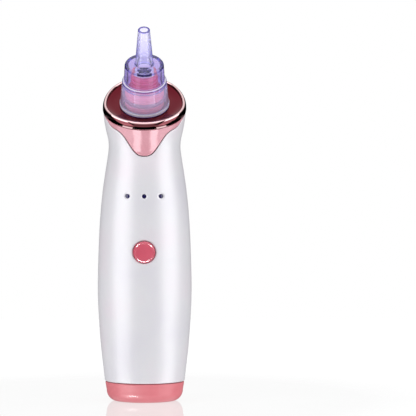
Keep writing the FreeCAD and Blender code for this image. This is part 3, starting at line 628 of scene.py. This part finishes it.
def lamp_lenses():
    """Three light pipes with softly domed ends that follow the handle's surface."""
    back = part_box("lamp_lenses")[1][1] / MM
    inset, dome = 0.3, 0.14
    angle = np.arange(40) * 2 * math.pi / 40
    skin = Skin()
    for middle in (-LAMP_STEP, 0.0, LAMP_STEP):
        rows = []
        for radius in (0.05, 0.35, 0.6, 0.8, 0.9, LAMP_R):
            x, z = middle + radius * np.cos(angle), LAMP_Z + radius * np.sin(angle)
            lift = dome * (1 - (radius / LAMP_R) ** 2)
            rows.append(front_point(x, z) + np.array([0, inset - lift, 0]))
        end = rows[-1].copy()
        end[:, 1] = back
        ids = skin.stack(rows + [end], closed=False)
        skin.fan(ids[0])
        skin.fan(ids[-1])
    skin.piece("lamp_lenses", "handle", "lamp_navy")


def bottom_cap():
    """The rounded foot with its spigot, the window for the port insert and the screw holes."""
    foot_r, shoulder_r, shoulder_z, cap_r, spigot_r = 12.5, 17.15, 4.9, 17.8, 15.8
    slimness = STATIONS[1][2] / STATIONS[1][1]
    floor, rim_z, rim = 2.0, CAP_TOP + 3.5, 1.0
    window_x, window_y, screw_y = 6.7, 4.55, 9.4
    angle = np.arange(168) * 2 * math.pi / 168

    def oval(z, radius):
        x, y = radius * np.cos(angle), radius * slimness * np.sin(angle)
        return np.stack([x, y, np.full(angle.shape, z)], -1)

    rows = []
    for turn in np.radians(np.linspace(0, 90, 17)):
        rows.append(oval(shoulder_z * (1 - math.cos(turn)), foot_r + (shoulder_r - foot_r) * math.sin(turn)))
    edge_z = CAP_TOP - FOOT_ROLL
    for k in range(1, 5):
        z = shoulder_z + (edge_z - shoulder_z) * k / 4
        rows.append(oval(z, shoulder_r + (cap_r - shoulder_r) * (z - shoulder_z) / (CAP_TOP - shoulder_z)))
    rows += [oval(z, r) for r, z in arc((cap_r - 0.03 - FOOT_ROLL, edge_z), FOOT_ROLL, 18, 90, 4)]
    rows += [oval(CAP_TOP, spigot_r), oval(rim_z, spigot_r), oval(rim_z, spigot_r - rim)]
    rows += [oval(5.5, spigot_r - rim), oval(floor, foot_r - 0.5)]
    skin = Skin()
    ids = skin.stack(rows, closed=False)
    below, above = [ids[0]], [ids[-1]]
    window = [skin.add([(sx * window_x, sy * window_y, z) for sx, sy in ((1, 1), (-1, 1), (-1, -1), (1, -1))])
              for z in (0.0, floor)]
    skin.strip(window[0], window[1])
    below.append(window[0])
    above.append(window[1])
    turn = np.arange(40) * 2 * math.pi / 40
    for middle in (-screw_y, screw_y):
        steps = [(2.1, 0.0), (2.1, 1.7), (1.1, 1.7), (1.1, 7.6), (1.6, 7.6), (1.6, floor)]
        rings = skin.stack([np.stack([r * np.cos(turn), middle + r * np.sin(turn), np.full(40, z)], -1)
                            for r, z in steps], closed=False)
        below.append(rings[0])
        above.append(rings[-1])
    skin.fill(below)
    skin.fill(above)
    skin.piece("bottom_cap", "handle", "pink_gloss", sharp=40)


# ---------------------------------------------------------------- materials
def map_range(tree, value, start, end, low, high, ease="LINEAR"):
    """A value mapped from one range to another, held at the ends."""
    node = tree.nodes.new("ShaderNodeMapRange")
    node.interpolation_type = ease
    for key, number in (("From Min", start), ("From Max", end), ("To Min", low), ("To Max", high)):
        node.inputs[key].default_value = number
    tree.links.new(value, node.inputs["Value"])
    return node.outputs[0]


class Look:
    """One procedural material, with its nodes reached by short calls."""

    def __init__(self, name):
        self.material = bpy.data.materials.new(name)
        self.material.use_nodes = True
        self.tree = self.material.node_tree
        self.nodes = self.tree.nodes
        self.links = self.tree.links
        self.nodes.clear()
        self.output = self.nodes.new("ShaderNodeOutputMaterial")
        self.shader = self.nodes.new("ShaderNodeBsdfPrincipled")
        self.links.new(self.shader.outputs[0], self.output.inputs["Surface"])
        self.place = self.nodes.new("ShaderNodeTexCoord").outputs["Object"]
        self.bumps = None

    def set(self, **values):
        for key, value in values.items():
            socket = self.shader.inputs[key.replace("_", " ")]
            socket.default_value = value

    def noise(self, size, detail=2.0, stretch=None):
        """Noise with features of about size millimetres."""
        node = self.nodes.new("ShaderNodeTexNoise")
        node.inputs["Scale"].default_value = 1.0 / (size * MM)
        node.inputs["Detail"].default_value = detail
        source = self.place
        if stretch:
            mapping = self.nodes.new("ShaderNodeMapping")
            mapping.inputs["Scale"].default_value = stretch
            self.links.new(source, mapping.inputs["Vector"])
            source = mapping.outputs[0]
        self.links.new(source, node.inputs["Vector"])
        return node.outputs["Fac"]

    def cells(self, size, output="Distance"):
        """Cells of about size millimetres: the distance to their middles, or a colour for each."""
        node = self.nodes.new("ShaderNodeTexVoronoi")
        node.inputs["Scale"].default_value = 1.0 / (size * MM)
        self.links.new(self.place, node.inputs["Vector"])
        return node.outputs[output]

    def height(self):
        """Height above the deck's plane, in millimetres."""
        along = self.nodes.new("ShaderNodeVectorMath")
        along.operation = "DOT_PRODUCT"
        along.inputs[1].default_value = (0, -SIN_T / MM, COS_T / MM)
        self.links.new(self.place, along.inputs[0])
        rise = self.nodes.new("ShaderNodeMath")
        rise.operation = "SUBTRACT"
        rise.inputs[1].default_value = DECK_Z * COS_T
        self.links.new(along.outputs["Value"], rise.inputs[0])
        return rise.outputs[0]

    def off_axis(self):
        """Distance from the head's axis, in millimetres."""
        spot = self.place
        middle, axis = (0, 0, DECK_Z * MM), (0, -SIN_T / MM, COS_T / MM)
        for kind, vector in (("SUBTRACT", middle), ("CROSS_PRODUCT", axis)):
            node = self.nodes.new("ShaderNodeVectorMath")
            node.operation = kind
            node.inputs[1].default_value = vector
            self.links.new(spot, node.inputs[0])
            spot = node.outputs[0]
        span = self.nodes.new("ShaderNodeVectorMath")
        span.operation = "LENGTH"
        self.links.new(spot, span.inputs[0])
        return span.outputs["Value"]

    def ramp(self, value, stops):
        """A colour ramp through (position, colour or grey) stops."""
        node = self.nodes.new("ShaderNodeValToRGB")
        ramp = node.color_ramp
        while len(ramp.elements) < len(stops):
            ramp.elements.new(0.5)
        for element, (position, colour) in zip(ramp.elements, stops):
            element.position = position
            element.color = (*np.broadcast_to(colour, 3), 1.0)
        self.links.new(value, node.inputs["Fac"])
        return node.outputs["Color"]

    def colour(self, value, low, high, start=0.35, end=0.65):
        self.links.new(self.ramp(value, [(start, low), (end, high)]), self.shader.inputs["Base Color"])

    def roughness(self, value, low, high, start=0.3, end=0.7):
        self.links.new(map_range(self.tree, value, start, end, low, high), self.shader.inputs["Roughness"])

    def bands(self, socket, place, low, high, stops):
        """Drives a socket by (place, setting) stops, with places in millimetres between low and high."""
        share = map_range(self.tree, place, low, high, 0.0, 1.0)
        stops = [((at - low) / (high - low), setting) for at, setting in stops]
        self.links.new(self.ramp(share, stops), self.shader.inputs[socket])

    def bump(self, value, strength, height):
        """Relief of about height millimetres."""
        node = self.nodes.new("ShaderNodeBump")
        node.inputs["Strength"].default_value = strength
        node.inputs["Distance"].default_value = height * MM
        self.links.new(value, node.inputs["Height"])
        if self.bumps:
            self.links.new(self.bumps, node.inputs["Normal"])
        self.bumps = node.outputs["Normal"]
        self.links.new(self.bumps, self.shader.inputs["Normal"])


def linear(red, green, blue):
    """A display colour of 0 to 255 as scene-linear numbers."""
    def channel(c):
        c = c / 255
        return c / 12.92 if c <= 0.04045 else ((c + 0.055) / 1.055) ** 2.4

    return channel(red), channel(green), channel(blue)


def pearl():
    """White pearl lacquer: fine flakes under a clear coat, with a faint drift of colour."""
    look = Look("shell_pearl")
    flakes = look.cells(0.12, "Color")
    flake_share = 0.035
    lilac, white, rose = linear(217, 215, 223), linear(221, 220, 225), linear(223, 217, 224)
    tint = look.ramp(look.noise(22.0), [(0.3, lilac), (0.5, white), (0.7, rose)])
    mix = look.nodes.new("ShaderNodeMix")
    mix.data_type = "RGBA"
    mix.inputs["Factor"].default_value = flake_share
    first, second, mixed = mix.inputs[6], mix.inputs[7], mix.outputs[2]
    look.links.new(tint, first)
    look.links.new(flakes, second)
    look.links.new(mixed, look.shader.inputs["Base Color"])
    look.set(Metallic=0.22, IOR=1.5, Coat_Weight=0.35, Coat_Roughness=0.25)
    look.roughness(look.noise(0.35), 0.38, 0.46)
    look.bump(look.noise(2.2), 0.08, 0.02)
    return look.material


def rose_metal():
    """Satin rose lacquer over a metallic base."""
    look = Look("rose_metal")
    look.colour(look.noise(0.2, 3.0), linear(208, 146, 158), linear(212, 151, 163))
    look.set(Metallic=0.03, Specular_IOR_Level=0.2, Coat_Weight=0.9, Coat_Roughness=0.11)
    look.roughness(look.noise(0.6), 0.24, 0.3)
    look.bump(look.noise(2.6), 0.04, 0.02)
    return look.material


def rose_chrome():
    """Bright rose plating with a wine band round the roll."""
    look = Look("rose_chrome")
    rose, wine = linear(240, 200, 202), linear(105, 28, 40)
    stops = [(-0.45, rose), (-0.3, wine), (1.5, wine), (1.75, rose)]
    look.bands("Base Color", look.height(), RING_LOW, RING_TOP, stops)
    look.set(Metallic=1.0, Coat_Weight=1.0, Coat_Roughness=0.04)
    look.roughness(look.noise(0.5), 0.03, 0.06)
    look.bump(look.noise(3.5), 0.05, 0.02)
    return look.material


def wine_mirror():
    """Wine red mirror plating with faint handling marks."""
    look = Look("wine_mirror")
    look.colour(look.noise(9.0), linear(105, 31, 42), linear(110, 34, 45))
    look.set(Metallic=1.0)
    look.roughness(look.noise(0.8, 4.0), 0.07, 0.11)
    look.bump(look.noise(5.0), 0.03, 0.02)
    return look.material


def gloss(name, low, high, rough=(0.12, 0.18), coat=0.6, coat_rough=0.05):
    """Moulded gloss plastic with a slight flow in its colour."""
    look = Look(name)
    look.colour(look.noise(7.0, 3.0), linear(*low), linear(*high))
    look.set(IOR=1.5, Coat_Weight=coat, Coat_Roughness=coat_rough)
    look.roughness(look.noise(0.5), *rough)
    look.bump(look.noise(2.5), 0.05, 0.02)
    return look.material


def clear_violet():
    """Blue-violet clear plastic that colours with thickness.

    Going up: a frosted rim and a ledge made milky white as a painted highlight, a slightly milky skirt, a
    clear drum and a softer tube, with navy lines of painted shade at the rim, the ledge, the shoulder and the
    mouth.
    """
    look = Look("clear_violet")
    look.set(IOR=1.5)
    height = look.height()
    pale_tint_and_highlight, lilac, mauve, painted_shade_navy = (0.95, 0.94, 1.0), (0.9, 0.83, 1.0), (0.84, 0.73, 0.93), (0.2, 0.16, 0.5)
    # The navy bands are painted shade: dark lines in place of the darkness clear plastic shows at its edges.
    look.bands("Base Color", height, 0.0, HEAD_TOP, [
        (0.35, painted_shade_navy), (0.5, pale_tint_and_highlight), (1.4, pale_tint_and_highlight),  # rim
        (1.7, lilac), (12.4, lilac),  # skirt
        (12.65, painted_shade_navy), (12.95, painted_shade_navy), (13.08, pale_tint_and_highlight),  # ledge
        (13.5, mauve), (19.6, mauve),  # drum
        (20.4, pale_tint_and_highlight), (20.85, pale_tint_and_highlight), (21.1, painted_shade_navy), (21.6, painted_shade_navy),  # shoulder
        (21.9, pale_tint_and_highlight), (39.8, pale_tint_and_highlight), (40.1, painted_shade_navy),  # tube and mouth
    ])
    # The low weights at the rim and the ledge, with the pale base colour at the same heights, make them milky
    # white: a painted highlight. Elsewhere the pale colour is the plastic's own tint.
    look.bands("Transmission Weight", height, 0.0, HEAD_TOP, [
        (0.45, 0.96), (0.6, 0.4), (1.4, 0.4),  # rim
        (1.6, 0.82), (12.4, 0.84),  # skirt
        (12.98, 0.96), (13.02, 0.3), (13.2, 0.3),  # ledge
        (13.35, 0.97), (21.9, 0.97),  # drum and shoulder
        (24.0, 0.88), (39.8, 0.88), (40.1, 0.97),  # tube and mouth
    ])
    look.bands("Roughness", height, 0.0, HEAD_TOP, [(1.5, 0.3), (1.8, 0.02), (25.0, 0.02), (29.0, 0.2)])
    look.bump(look.noise(4.0), 0.03, 0.02)
    volume = look.nodes.new("ShaderNodeVolumeAbsorption")
    volume.inputs["Color"].default_value = (0.30, 0.24, 0.86, 1.0)
    volume.inputs["Density"].default_value = 210.0
    look.links.new(volume.outputs[0], look.output.inputs["Volume"])
    return look.material


def plain(name, low, high, rough, size=0.5, relief=0.2, **more):
    """Inner parts: a mottled colour, grained roughness and fine relief."""
    look = Look(name)
    look.colour(look.noise(size * 4, 3.0), linear(*low), linear(*high))
    look.set(**more)
    look.roughness(look.noise(size), *rough)
    look.bump(look.noise(size), relief, 0.02)
    return look.material


def foam(name):
    """Open-cell filter foam."""
    look = Look(name)
    look.colour(look.cells(0.3), linear(240, 240, 244), linear(253, 253, 253), 0.1, 0.5)
    look.roughness(look.noise(0.3), 0.85, 0.95)
    look.bump(look.cells(0.35), 0.9, 0.15)
    return look.material


def grille():
    """Filter grille: a cross painted dark as a painted reflection, in a bright plated rim."""
    look = Look("grille_plated")
    bar_painted_dark, rim = linear(48, 30, 88), linear(232, 228, 238)
    # The cross's dark colour is a painted reflection, in place of plated bars mirroring dark surroundings.
    look.bands("Base Color", look.off_axis(), 3.0, 3.6, [(3.18, bar_painted_dark), (3.3, rim)])
    look.set(Metallic=0.3)
    look.roughness(look.noise(0.5), 0.2, 0.3)
    look.bump(look.noise(0.5), 0.2, 0.02)
    return look.material


def brushed(name, low, high, rough):
    """Metal with drawn or turned marks."""
    look = Look(name)
    look.colour(look.noise(3.0, 3.0), linear(*low), linear(*high))
    look.set(Metallic=1.0)
    marks = look.noise(0.6, 3.0, stretch=(1, 1, 18))
    look.roughness(marks, *rough)
    look.bump(marks, 0.15, 0.01)
    return look.material


def board(name):
    """Green solder mask with faint tracks under it."""
    look = Look(name)
    look.colour(look.cells(1.6), linear(22, 92, 52), linear(38, 118, 70), 0.2, 0.5)
    look.set(Coat_Weight=0.4)
    look.roughness(look.noise(0.4), 0.3, 0.42)
    look.bump(look.cells(1.6), 0.3, 0.03)
    return look.material


def winding(name):
    """Enamelled copper wire laid in fine turns."""
    look = Look(name)
    look.colour(look.noise(0.5), linear(168, 84, 40), linear(214, 128, 74))
    look.set(Metallic=1.0)
    look.roughness(look.noise(0.4), 0.25, 0.4)
    wave = look.nodes.new("ShaderNodeTexWave")
    wave.inputs["Scale"].default_value = 900.0
    wave.bands_direction = "Z"
    look.links.new(look.place, wave.inputs["Vector"])
    look.bump(wave.outputs["Fac"], 0.6, 0.08)
    return look.material


FINISHES = {
    "shell_pearl": pearl(),
    "rose_metal": rose_metal(),
    "rose_chrome": rose_chrome(),
    "wine_mirror": wine_mirror(),
    "coral_gloss": gloss("coral_gloss", (197, 83, 102), (203, 89, 108)),
    "pink_gloss": gloss("pink_gloss", (209, 111, 120), (214, 117, 126), (0.42, 0.48), 0.35, 0.14),
    "clear_violet": clear_violet(),
    "post_pink": gloss("post_pink", (226, 110, 122), (234, 120, 132), (0.25, 0.32), 0.5, 0.25),
    "seal_rubber": plain("seal_rubber", (122, 44, 82), (138, 54, 94), (0.35, 0.5)),
    "filter_foam": foam("filter_foam"),
    "grille_plated": grille(),
    "lamp_navy": gloss("lamp_navy", (24, 20, 66), (32, 26, 78), (0.05, 0.09)),
    "chip_epoxy": plain("chip_epoxy", (24, 24, 27), (36, 36, 40), (0.5, 0.65), size=0.2),
    "led_ceramic": plain("led_ceramic", (232, 226, 190), (240, 236, 206), (0.35, 0.5), size=0.3),
    "board_green": board("board_green"),
    "steel": brushed("steel", (172, 174, 178), (190, 192, 196), (0.22, 0.4)),
    "nickel": brushed("nickel", (198, 192, 178), (212, 206, 192), (0.2, 0.36)),
    "cell_wrap": gloss("cell_wrap", (60, 110, 190), (70, 122, 202), (0.25, 0.35)),
    "ferrite": plain("ferrite", (38, 38, 42), (56, 56, 60), (0.6, 0.8), size=0.3, relief=0.4),
    "core_steel": brushed("core_steel", (120, 122, 128), (146, 148, 152), (0.3, 0.5)),
    "copper": winding("copper"),
    "bronze": brushed("bronze", (158, 116, 66), (178, 134, 82), (0.3, 0.45)),
    "nylon_white": plain("nylon_white", (226, 224, 214), (236, 234, 226), (0.4, 0.55), Subsurface_Weight=0.1),
    "nylon_black": plain("nylon_black", (26, 26, 29), (36, 36, 40), (0.42, 0.58)),
    "membrane_rubber": plain("membrane_rubber", (44, 44, 46), (58, 58, 60), (0.6, 0.75)),
    "hose_silicone": plain(
        "hose_silicone", (214, 216, 220), (228, 230, 234), (0.3, 0.42), Subsurface_Weight=0.25
    ),
    "lead_red": plain("lead_red", (170, 28, 30), (188, 38, 38), (0.35, 0.5)),
    "lead_blue": plain("lead_blue", (30, 50, 140), (40, 62, 158), (0.35, 0.5)),
    "frame_grey": plain("frame_grey", (136, 138, 144), (150, 152, 158), (0.45, 0.6)),
}


# ---------------------------------------------------------------- the object
def build_object():
    """The outside pieces, drawn finer than in CAD; the inner ones stay CAD nodes."""
    openings = [((0.0, BUTTON_Z), 8.0, BUTTON_HOLE)]
    openings += [((x, LAMP_Z), 2.6, LAMP_HOLE) for x in (-LAMP_STEP, 0.0, LAMP_STEP)]
    body_shell("front_shell", "front", columns=151, row_step=0.8, holes=openings)
    body_shell("rear_shell", "rear", columns=121, row_step=1.2, holes=[])
    collar()
    trim_ring()
    deck_plate()
    suction_head()
    suction_post()
    head_seal()
    power_button()
    lamp_lenses()
    bottom_cap()


def dress_cad_nodes():
    """Gives every CAD node that stays its procedural material."""
    slots = {part["node"]: part["material_slot"] for part in frame["record"]["subparts"]}
    for name, node in frame["nodes"].items():
        finish = FINISHES[slots[name]]
        for place in node.material_slots:
            place.material = finish


# ---------------------------------------------------------------- studio, in metres
# Brightness of the studio by direction: (from, to, level at from, level at to) of the direction's Z or |Y|.
CEILING = (0.4, 0.72, 0.1, 1.0)
GROUND = (-0.68, -0.45, 1.0, 0.1)
BACKDROP = (0.72, 0.93, 0.1, 1.0)
SOFT = (0.2, 0.8, 0.36, 0.9)
FLOOR_HALF = 0.4
CARD_HEIGHT = -0.0006
HANDLE_SPOT = (0, 0, 0.08)
COLLAR_SPOT = (0, -0.014, 0.117)
RING_SPOT = (0, -0.016, 0.125)
CAP_SPOT = (0, -0.014, 0.003)
BUTTON_SPOT = (0, -0.0195, 0.0684)

# Panels: azimuth, elevation, distance, centre, width, height, radiance, and the one piece that sees it.
LIGHTS = {
    "softbox_left": (-56.0, 0.0, 0.6, HANDLE_SPOT, 0.5, 1.1, 2.0),
    "softbox_right": (64.0, 0.0, 0.6, HANDLE_SPOT, 0.5, 1.1, 2.0),
    "strip_left": (-20.0, -14.0, 0.5, COLLAR_SPOT, 0.17, 0.45, 6.0, "top_collar"),
    "strip_right": (26.0, -14.0, 0.5, COLLAR_SPOT, 0.17, 0.45, 6.0, "top_collar"),
    "ring_fill": (0.0, 18.0, 0.6, RING_SPOT, 0.66, 1.3, 1.0, "trim_ring"),
    "cap_glint": (-42.0, -39.0, 0.3, CAP_SPOT, 0.16, 0.03, 50.0, "bottom_cap"),
    "button_left": (-19.0, 14.0, 0.5, BUTTON_SPOT, 0.1, 0.08, 45.0, "power_button"),
    "button_right": (19.0, 14.0, 0.5, BUTTON_SPOT, 0.1, 0.08, 45.0, "power_button"),
    "button_low": (0.0, -29.0, 0.5, BUTTON_SPOT, 0.34, 0.08, 40.0, "power_button"),
}


def shine_only_on(source, piece):
    """Lets a light or a glowing card light one piece and nothing else."""
    seen_by = bpy.data.collections.new(f"{source.name}_only")
    seen_by.objects.link(piece)
    source.light_linking.receiver_collection = seen_by


def emitter(name, strength):
    material = bpy.data.materials.new(name)
    material.use_nodes = True
    nodes = material.node_tree.nodes
    nodes.clear()
    glow = nodes.new("ShaderNodeEmission")
    glow.inputs["Strength"].default_value = strength
    glow.inputs["Color"].default_value = (1, 1, 1, 1)
    out = nodes.new("ShaderNodeOutputMaterial")
    material.node_tree.links.new(glow.outputs[0], out.inputs["Surface"])
    return material


def area_light(name, azimuth, elevation, away, centre, width, height, radiance, only=None):
    """A panel facing a centre from an azimuth off the front; with only, just that piece reflects it."""
    turn, lift = math.radians(azimuth), math.radians(elevation)
    data = bpy.data.lights.new(name, "AREA")
    data.shape = "RECTANGLE"
    data.size = width
    data.size_y = height
    data.energy = radiance * math.pi * width * height
    light = in_scene(name, data)
    out = np.array((math.cos(lift) * math.sin(turn), -math.cos(lift) * math.cos(turn), math.sin(lift)))
    light.location = np.array(centre) + away * out
    light.rotation_euler = (math.pi / 2 - lift, 0, turn)
    if only:
        shine_only_on(light, PIECES[only])
        light.visible_diffuse = False


def studio_world():
    """White to the camera; to gloss a dark horizon under a white ceiling and over a white ground.

    Light through clear plastic also finds a white backdrop in front and behind, and matt surfaces a soft grey
    that brightens upwards.
    """
    world = bpy.data.worlds.new("studio")
    bpy.context.scene.world = world
    world.use_nodes = True
    tree = world.node_tree
    nodes = tree.nodes
    nodes.clear()

    def math_node(kind, *values):
        node = nodes.new("ShaderNodeMath")
        node.operation = kind
        for socket, value in zip(node.inputs, values):
            tree.links.new(value, socket)
        return node.outputs[0]

    def chosen(flag, yes, no):
        node = nodes.new("ShaderNodeMix")
        tree.links.new(flag, node.inputs["Factor"])
        for socket, value in ((node.inputs[2], no), (node.inputs[3], yes)):
            if isinstance(value, float):
                socket.default_value = value
            else:
                tree.links.new(value, socket)
        return node.outputs[0]

    path = nodes.new("ShaderNodeLightPath").outputs
    split = nodes.new("ShaderNodeSeparateXYZ")
    tree.links.new(nodes.new("ShaderNodeTexCoord").outputs["Generated"], split.inputs[0])
    up = split.outputs["Z"]
    ceiling = map_range(tree, up, *CEILING, "SMOOTHSTEP")
    ground = map_range(tree, up, *GROUND, "SMOOTHSTEP")
    soft = map_range(tree, up, *SOFT, "SMOOTHSTEP")
    front_or_back = math_node("ABSOLUTE", split.outputs["Y"])
    backdrop = map_range(tree, front_or_back, *BACKDROP, "SMOOTHSTEP")
    gloss_level = math_node("MAXIMUM", ceiling, ground)
    level = chosen(path["Is Glossy Ray"], gloss_level, soft)
    level = chosen(path["Is Transmission Ray"], math_node("MAXIMUM", gloss_level, backdrop), level)
    level = chosen(path["Is Camera Ray"], 1.0, level)
    back = nodes.new("ShaderNodeBackground")
    back.inputs["Color"].default_value = (1, 1, 1, 1)
    tree.links.new(level, back.inputs["Strength"])
    out = nodes.new("ShaderNodeOutputWorld")
    tree.links.new(back.outputs[0], out.inputs["Surface"])


def floor_finish():
    """White acrylic: softly lit through, with a faint reflection that dies out away from the middle."""
    near, far, most, roughness = 0.1, 0.17, 0.33, 0.06
    look = Look("floor_white")
    look.colour(look.noise(40.0), (0.09, 0.09, 0.09), (0.1, 0.1, 0.1))
    look.roughness(look.noise(15.0), 0.8, 0.9)
    look.set(IOR=1.05, Emission_Color=(1, 1, 1, 1), Emission_Strength=0.95)
    shine = look.nodes.new("ShaderNodeBsdfGlossy")
    shine.inputs["Roughness"].default_value = roughness
    distance = look.nodes.new("ShaderNodeVectorMath")
    distance.operation = "LENGTH"
    look.links.new(look.place, distance.inputs[0])
    mix = look.nodes.new("ShaderNodeMixShader")
    look.links.new(map_range(look.tree, distance.outputs["Value"], near, far, most, 0.0), mix.inputs[0])
    look.links.new(look.shader.outputs[0], mix.inputs[1])
    look.links.new(shine.outputs[0], mix.inputs[2])
    look.links.new(mix.outputs[0], look.output.inputs["Surface"])
    return look.material


def panels(name, corners, material):
    """One object of flat panels, with four corners for each."""
    mesh = bpy.data.meshes.new(name)
    mesh.from_pydata(corners, [], [(i, i + 1, i + 2, i + 3) for i in range(0, len(corners), 4)])
    mesh.materials.append(material)
    return in_scene(name, mesh)


def flat(left, right, near, far, height=CARD_HEIGHT):
    """Corners of a level panel."""
    return [(x, y, height) for x, y in ((left, near), (right, near), (right, far), (left, far))]


def floor():
    """The ground plate; it throws no shadow and isn't seen in reflections."""
    h = FLOOR_HALF
    obj = panels("floor", flat(-h, h, -h, h, 0.0), floor_finish())
    obj.visible_glossy = False
    obj.visible_shadow = False
    return obj


def card(name, corners, strength, only=None):
    """Joined panels that only show in reflections; with only, they light that object alone."""
    obj = panels(name, corners, emitter(name, strength))
    for kind in ("camera", "diffuse", "transmission", "shadow", "volume_scatter"):
        setattr(obj, f"visible_{kind}", False)
    if only:
        shine_only_on(obj, only)


def wall(radius, low, high, count):
    """Corners of a ring of upright panels."""
    corners = []
    for k in range(count):
        a, b = 2 * math.pi * k / count, 2 * math.pi * (k + 1) / count
        ends = [(radius * math.cos(t), radius * math.sin(t)) for t in (a, b)]
        corners += [(*ends[0], low), (*ends[1], low), (*ends[1], high), (*ends[0], high)]
    return corners


def cards(ground):
    """A white wall for the floor's reflection, and dark cards that show in the gloss of the pieces."""
    card("wall", wall(0.9, -0.05, 0.45, 36), 1.0, ground)
    card("card_front", flat(-0.062, 0.062, -0.105, -0.042), 0.0)
    card("card_left", flat(-0.33, -0.125, -0.06, 0.23), 0.0)
    card("card_right", flat(0.125, 0.33, -0.06, 0.23), 0.0)


def studio_lights():
    for name, values in LIGHTS.items():
        area_light(name, *values)


def camera():
    data = bpy.data.cameras.new("camera")
    data.sensor_width = 36.0
    data.lens = 461.6
    data.clip_start = 0.05
    view = in_scene("camera", data)
    elevation = math.radians(4.0)
    target = np.array([0.0285, 0.0, 0.0869])
    distance = 2.4
    view.location = target + distance * np.array([0, -math.cos(elevation), math.sin(elevation)])
    view.rotation_euler = (math.pi / 2 - elevation, 0, 0)
    bpy.context.scene.camera = view


build_object()
dress_cad_nodes()
studio_world()
cards(floor())
studio_lights()
camera()
bpy.context.scene.view_settings.view_transform = "Standard"
